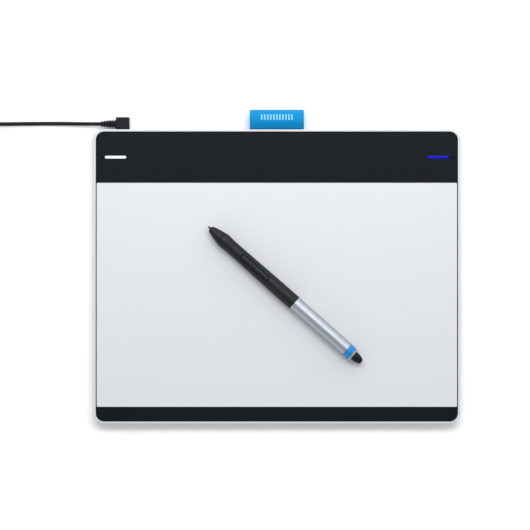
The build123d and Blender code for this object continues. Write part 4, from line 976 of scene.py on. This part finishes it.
def add_side_switch(materials):
    """The rocker: a long crowned pill, a little proud of the grip, dished at its middle."""
    straight = (SWITCH_LENGTH - SWITCH_WIDTH) / 2
    half_width = SWITCH_WIDTH / 2 - SWITCH_GAP
    outline = arc((straight, 0), 1, -90, 90, 16) + arc((-straight, 0), 1, 90, 270, 16)
    # Each point of the outline as the middle of its round end, and its direction from there
    ends = [(math.copysign(straight, x), x - math.copysign(straight, x), y) for x, y in outline]
    dense = []
    for here, there in zip(ends, ends[1:] + ends[:1]):
        dense.append(here)
        if here[0] != there[0]:
            for step in range(1, SWITCH_LONG_STEPS):
                share = step / SWITCH_LONG_STEPS
                dense.append((here[0] + (there[0] - here[0]) * share, 0.0, here[2]))
    made = bmesh.new()

    def vertex(along, across, up):
        return made.verts.new(PEN_TIP + PEN_DIRECTION * (SWITCH_MIDDLE + along) * MM
                              + PEN_SIDE * across * MM + PEN_UP * up * MM)

    loops = []
    for ring in range(SWITCH_RINGS + 1):
        share = ring / SWITCH_RINGS
        reach = half_width * math.sin(share * math.pi / 2)
        rise = SWITCH_CROWN * math.cos(share * math.pi / 2) ** SWITCH_CROWN_POWER
        loop = []
        for middle, x, y in dense:
            along, across = middle + x * reach, y * reach
            dish = SWITCH_DISH * math.exp(-(along / SWITCH_DISH_LENGTH) ** 2)
            bed = math.sqrt(SWITCH_BED_RADIUS ** 2 - across ** 2)
            loop.append(vertex(along, across, bed + SWITCH_PROUD + rise - dish * (1 - share)))
        loops.append(loop)
    loops.append([vertex(middle + x * half_width, y * half_width, SWITCH_UNDER) for middle, x, y in dense])
    skin(made, loops)
    made.faces.new(loops[-1])
    bmesh.ops.remove_doubles(made, verts=made.verts[:], dist=0.002 * MM)
    return piece("side_switch_cap", made, materials["pen_black"], "pen_switch",
                 ["pen_side_switch"])


def add_pen(materials):
    """Turned pen parts with rounded edges and fine gaps between them."""
    turns = [step * math.pi / 16 for step in range(8)]
    eraser = [(ERASER_START, 0.0), (ERASER_START, ERASER_START_RADIUS)]
    eraser += [(CAP_END + (ERASER_END - CAP_END) * math.sin(turn),
                ERASER_RADIUS * math.cos(turn) ** ERASER_BLUNT) for turn in turns]
    eraser.append((ERASER_END, 0.0))
    turned = (
        ("nib_tip", NIB, "nib_black", "nib", "pen_nib", 40),
        ("nose_cone_skin", CONE, "pen_black", "pen", "pen_nose_cone", 96),
        ("barrel_skin", BARREL, "pen_silver", "pen", "pen_rear_barrel", 128),
        ("ring_skin", RING, "pen_blue", "pen", "pen_ring", 96),
        ("end_cap_skin", CAP, "pen_silver", "pen", "pen_end_cap", 96),
        ("eraser_tip", eraser, "rubber_dark", "eraser", "pen_eraser", 72),
    )
    for name, profile, slot, body, node, segments in turned:
        piece(name, pen_lathe(profile, full_turn(segments)), materials[slot], body, [node])
    add_grip(materials)
    add_side_switch(materials)


# ================================================================ everything
DESK_SIZE = 6
DESK_LEVEL = -0.0002
DESK_COLOR = (0.955, 0.955, 0.955, 1)


def add_floor():
    """A plain pale desk."""
    bpy.ops.mesh.primitive_plane_add(size=DESK_SIZE, location=(0, 0, DESK_LEVEL))
    floor = bpy.context.object
    floor.name = "desk"
    finish = Finish("desk_paint", DESK_COLOR, 0.9, Specular_IOR_Level=0.1)
    finish.shades(finish.noise(grain=0.5, detail=1.0), darker=0.995, lighter=1.005)
    floor.data.materials.append(finish.material)


def finish_cad_nodes(materials):
    """Give each CAD node that stays its finish."""
    slots = {part["node"]: part["material_slot"] for part in frame["record"]["subparts"]}
    for name, node in frame["nodes"].items():
        slot = "tongue_white" if name == "usb_a_plug_tongue" else slots[name]
        node.data.materials.clear()
        node.data.materials.append(materials[slot])


add_camera()
add_lights()
MATERIALS = make_materials()
add_cable(MATERIALS)
add_floor()
finish_cad_nodes(MATERIALS)
for key_side, side_name in ((-1, "left"), (1, "right")):
    for key_row, row_name in ((1, "rear"), (-1, "front")):
        add_key(f"{side_name}_{row_name}", key_side, key_row, MATERIALS)
add_mark("light_guide_left", "mark_white", MATERIALS)
add_mark("light_guide_right", "mark_blue", MATERIALS)
add_pen_loop(MATERIALS)
add_pen(MATERIALS)
